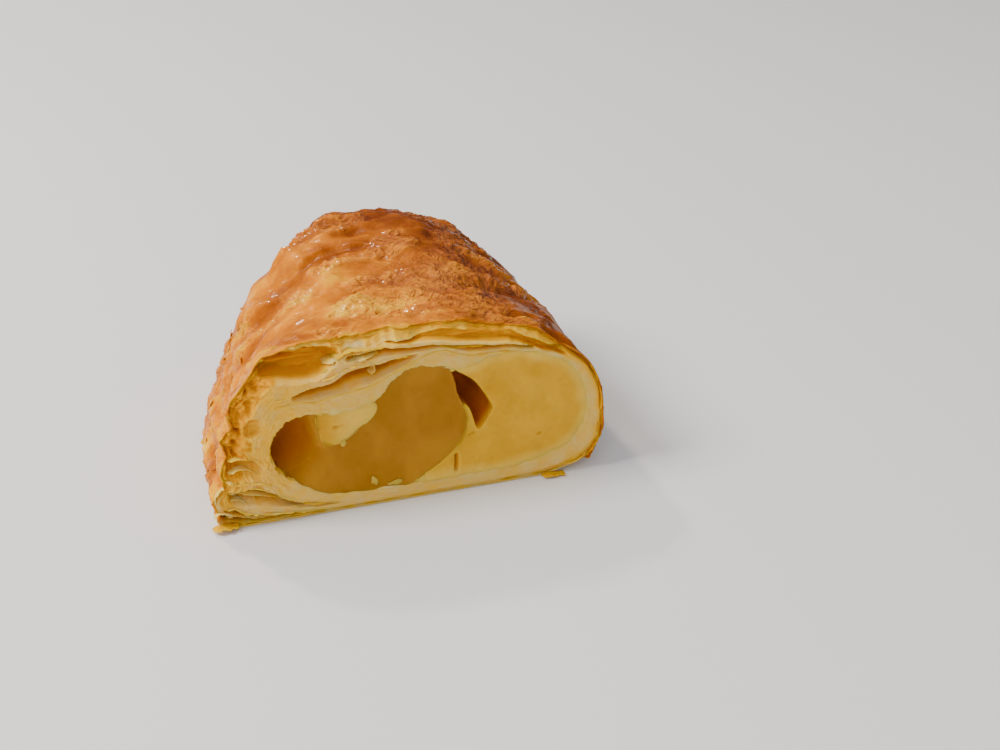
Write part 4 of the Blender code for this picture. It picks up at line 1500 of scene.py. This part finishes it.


# Flakes


@dataclass
class Flakes:
    """Small curled flakes that cling to the flaky flanks, laid by Geometry Nodes."""

    density: float = 30000.0
    seed: int = 5
    size: tuple[float, float] = (0.6, 1.6)
    half_width: float = 1.1 * MM
    thickness: float = 0.1 * MM
    curl: float = 0.1 * MM
    clear: float = 0.04 * MM

    def one_flake(self) -> bpy.types.Object:
        """A single ragged, curled flake.

        Returns:
            The flake, about two millimetres across.
        """
        bm = bmesh.new()
        bmesh.ops.create_grid(bm, x_segments=6, y_segments=4, size=self.half_width)
        for vert in bm.verts:
            x, y = vert.co.x / self.half_width, vert.co.y / self.half_width
            vert.co.x *= 1 - 0.35 * y * y + 0.16 * math.sin(7 * y)
            vert.co.y *= 0.6 * (1 - 0.45 * x * x) + 0.12 * math.sin(5 * x)
            bent = x * x + 0.8 * y + 0.5 * math.sin(4 * x * y)
            vert.co.z = self.curl * bent + self.clear
        mesh = bpy.data.meshes.new("flake")
        bm.to_mesh(mesh)
        bm.free()
        flake = new_object("flake_pattern", mesh)
        solid = flake.modifiers.new("thickness", "SOLIDIFY")
        solid.thickness = self.thickness
        return flake

    def tree(self, flake: bpy.types.Object, material: bpy.types.Material) -> bpy.types.NodeTree:
        """The node tree that lays flakes over a surface.

        Args:
            flake: the flake to lay.
            material: what the flakes are made of.

        Returns:
            The tree, with named inputs.
        """
        tree = bpy.data.node_groups.new("flakes on a surface", "GeometryNodeTree")
        face = tree.interface
        face.new_socket("Geometry", in_out="INPUT", socket_type="NodeSocketGeometry")
        for name, kind in (("Density", "NodeSocketFloat"), ("Smallest", "NodeSocketFloat"),
                           ("Largest", "NodeSocketFloat"), ("Seed", "NodeSocketInt")):
            face.new_socket(name, in_out="INPUT", socket_type=kind)
        face.new_socket("Geometry", in_out="OUTPUT", socket_type="NodeSocketGeometry")
        nodes, links = tree.nodes, tree.links
        given = nodes.new("NodeGroupInput")
        out = nodes.new("NodeGroupOutput")
        spread = nodes.new("GeometryNodeDistributePointsOnFaces")
        info = nodes.new("GeometryNodeObjectInfo")
        info.inputs["Object"].default_value = flake
        place = nodes.new("GeometryNodeInstanceOnPoints")
        scale = nodes.new("FunctionNodeRandomValue")
        turn = nodes.new("FunctionNodeRandomValue")
        turn.data_type = "FLOAT_VECTOR"
        turn.inputs["Min"].default_value = (-0.25, -0.25, -3.1)
        turn.inputs["Max"].default_value = (0.25, 0.25, 3.1)
        rotate = nodes.new("FunctionNodeRotateRotation")
        rotate.rotation_space = "LOCAL"
        real = nodes.new("GeometryNodeRealizeInstances")
        dress = nodes.new("GeometryNodeSetMaterial")
        dress.inputs["Material"].default_value = material
        euler = nodes.new("FunctionNodeEulerToRotation")
        for source, target in (
                (given.outputs["Geometry"], spread.inputs["Mesh"]),
                (given.outputs["Density"], spread.inputs["Density"]),
                (given.outputs["Seed"], spread.inputs["Seed"]),
                (given.outputs["Seed"], turn.inputs["Seed"]),
                (given.outputs["Smallest"], scale.inputs[2]),
                (given.outputs["Largest"], scale.inputs[3]),
                (spread.outputs["Points"], place.inputs["Points"]),
                (info.outputs["Geometry"], place.inputs["Instance"]),
                (turn.outputs[0], euler.inputs[0]),
                (spread.outputs["Rotation"], rotate.inputs[0]),
                (euler.outputs[0], rotate.inputs[1]),
                (rotate.outputs[0], place.inputs["Rotation"]),
                (scale.outputs[1], place.inputs["Scale"]),
                (place.outputs["Instances"], real.inputs[0]),
                (real.outputs[0], dress.inputs["Geometry"]),
                (dress.outputs[0], out.inputs[0])):
            links.new(source, target)
        return tree

    def build(self, skin: bpy.types.Object, material: bpy.types.Material) -> bpy.types.Object:
        """Lays flakes on the skin's flaky left flank and sealed end.

        Args:
            skin: the baked skin.
            material: what the flakes are made of.

        Returns:
            The flakes as one plain mesh.
        """
        bm = bmesh.new()
        bm.from_mesh(skin.data)
        keep = []
        for part in bm.faces:
            spot = np.array(part.calc_center_median()) / MM - SEAM_TIP
            flank = part.normal.x < -0.35 or part.normal.y > 0.5
            keep.append(flank and 1.5 < spot[2] < 30 and spot[0] < 60)
        bmesh.ops.delete(bm, geom=[f for f, k in zip(bm.faces, keep) if not k], context="FACES")
        mesh = bpy.data.meshes.new("flank")
        bm.to_mesh(mesh)
        bm.free()
        holder = new_object("flank_flakes", mesh)
        pattern = self.one_flake()
        tree = self.tree(pattern, material)
        modifier = holder.modifiers.new("flakes", "NODES")
        modifier.node_group = tree
        values = {"Density": self.density, "Smallest": self.size[0], "Largest": self.size[1],
                  "Seed": self.seed}
        for item in tree.interface.items_tree:
            if item.in_out == "INPUT" and item.name in values:
                modifier[item.identifier] = values[item.name]
        graph = bpy.context.evaluated_depsgraph_get()
        made = bpy.data.meshes.new_from_object(holder.evaluated_get(graph))
        holder.modifiers.clear()
        holder.data = made
        made.name = "flank_flakes"
        spots = spots_of(made)
        spots[:, 2] = np.maximum(spots[:, 2], 0.05)
        put_spots(made, spots)
        tone = 0.56 + 0.22 * Grain(3).at(spots + SEAM_TIP, 5.0)
        tone = tone - 0.14 * (1 - smooth_step(2, 12, spots[:, 2]))
        paint(made, "bake", np.clip(tone, 0.05, 0.85))
        bpy.data.objects.remove(pattern, do_unlink=True)
        return holder


# Stage


@dataclass
class Studio:
    """A pale floor, soft light and the photograph's viewing angle."""

    eye: tuple[float, float, float] = (-27.4, -260.2, 164.9)
    aim: tuple[float, float, float] = (70.4, 27.6, 13.0)
    focal: float = 1444.0
    principal: tuple[float, float] = (487.8, 374.0)
    size: tuple[int, int] = (1000, 750)
    sensor: float = 36.0
    floor_colour: tuple = (0.74, 0.75, 0.77)
    room_light: float = 0.85
    dark_below: tuple = (0.16, 0.16, 0.165, 1)
    light_above: tuple = (0.95, 0.95, 0.95, 1)
    daylight: tuple = (1.0, 0.96, 0.90)
    warm_light: tuple = (1.0, 0.82, 0.60)

    def camera(self) -> None:
        """Sets the camera."""
        data = bpy.data.cameras.new("camera")
        data.sensor_fit = "HORIZONTAL"
        data.sensor_width = self.sensor
        data.lens = self.sensor * self.focal / self.size[0]
        data.shift_x = (self.size[0] / 2 - self.principal[0]) / self.size[0]
        data.shift_y = (self.principal[1] - self.size[1] / 2) / self.size[0]
        data.clip_start = 0.01
        camera = bpy.data.objects.new("camera", data)
        bpy.context.scene.collection.objects.link(camera)
        eye = Vector(((np.array(self.eye) + SEAM_TIP) * MM).tolist())
        aim = Vector(((np.array(self.aim) + SEAM_TIP) * MM).tolist())
        camera.location = eye
        camera.rotation_euler = (aim - eye).to_track_quat("-Z", "Y").to_euler()
        bpy.context.scene.camera = camera

    def lamp(self, name: str, place: tuple, size: float, power: float, mirrored: bool) -> None:
        """Adds one soft lamp that looks at the pie.

        Args:
            name: the lamp's name.
            place: where it is, in metres.
            size: its width, in metres.
            power: its power, in watts.
            mirrored: whether it's the warm lamp that shows as highlights.
        """
        data = bpy.data.lights.new(name, "AREA")
        data.shape = "DISK"
        data.size = size
        data.energy = power
        data.color = self.warm_light if mirrored else self.daylight
        lamp = bpy.data.objects.new(name, data)
        bpy.context.scene.collection.objects.link(lamp)
        lamp.location = place
        lamp.visible_glossy = mirrored
        aim = Vector((0.0, 0.0, 0.02)) - Vector(place)
        lamp.rotation_euler = aim.to_track_quat("-Z", "Y").to_euler()

    def build(self) -> None:
        """Makes the floor, the light and the camera."""
        bm = bmesh.new()
        bmesh.ops.create_grid(bm, x_segments=1, y_segments=1, size=3.0)
        mesh = bpy.data.meshes.new("floor")
        bm.to_mesh(mesh)
        bm.free()
        floor = new_object("floor", mesh)
        t = Tree("pale floor")
        floor.data.materials.append(t.finish(Base_Color=self.floor_colour, Roughness=0.6))
        world = bpy.data.worlds.new("soft room")
        bpy.context.scene.world = world
        world.use_nodes = True
        sky = world.node_tree.nodes["Background"]
        sky.inputs["Strength"].default_value = self.room_light
        nodes, links = world.node_tree.nodes, world.node_tree.links
        way = nodes.new("ShaderNodeTexCoord")
        split = nodes.new("ShaderNodeSeparateXYZ")
        ramp = nodes.new("ShaderNodeValToRGB")
        low, high = ramp.color_ramp.elements
        low.position, low.color = 0.25, self.dark_below
        high.position, high.color = 0.85, self.light_above
        links.new(way.outputs["Generated"], split.inputs[0])
        links.new(split.outputs["Z"], ramp.inputs["Fac"])
        links.new(ramp.outputs[0], sky.inputs["Color"])
        self.lamp("window", (-0.80, 0.05, 0.80), 0.5, 16, False)
        self.lamp("sparkle", (-0.30, 0.80, 0.80), 0.10, 6.0, True)
        self.lamp("front_fill", (-0.5, -0.9, 0.55), 0.8, 4.5, False)
        self.camera()


def finish_piece(obj: bpy.types.Object, material: bpy.types.Material) -> None:
    """Dresses a piece and puts it on the pie's one body.

    Args:
        obj: the piece.
        material: its material.
    """
    if material.name not in obj.data.materials:
        obj.data.materials.clear()
        obj.data.materials.append(material)
    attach(obj, "root")
    LOG.info("%s: %d points", obj.name, len(obj.data.vertices))


def main() -> None:
    """Builds the dressed pie."""
    logging.basicConfig(level=logging.INFO, format="%(name)s: %(message)s")
    form = PieForm()
    crust = BakedPastry(
        "glazed crust", True, pale=(0.90, 0.52, 0.05), straw=(0.80, 0.385, 0.004),
        golden=(0.67, 0.213, 0.001), amber=(0.38, 0.092, 0.001)).build()
    pale = BakedPastry("pale pastry", False, softness=0.55).build()
    skin = BakedSkin(form)
    skin_piece = skin.build()
    case_piece = LayeredCase(form).build(skin)
    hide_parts("pastry")
    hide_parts("pastry")
    finish_piece(skin_piece, crust)
    finish_piece(case_piece, pale)
    finish_piece(ThinSheets().build(), pale)
    finish_piece(Flakes().build(skin_piece, crust), crust)
    Filling().build(CustardCream().build(), CookedApple().build())
    Studio().build()


if __name__ == "__main__":
    main()
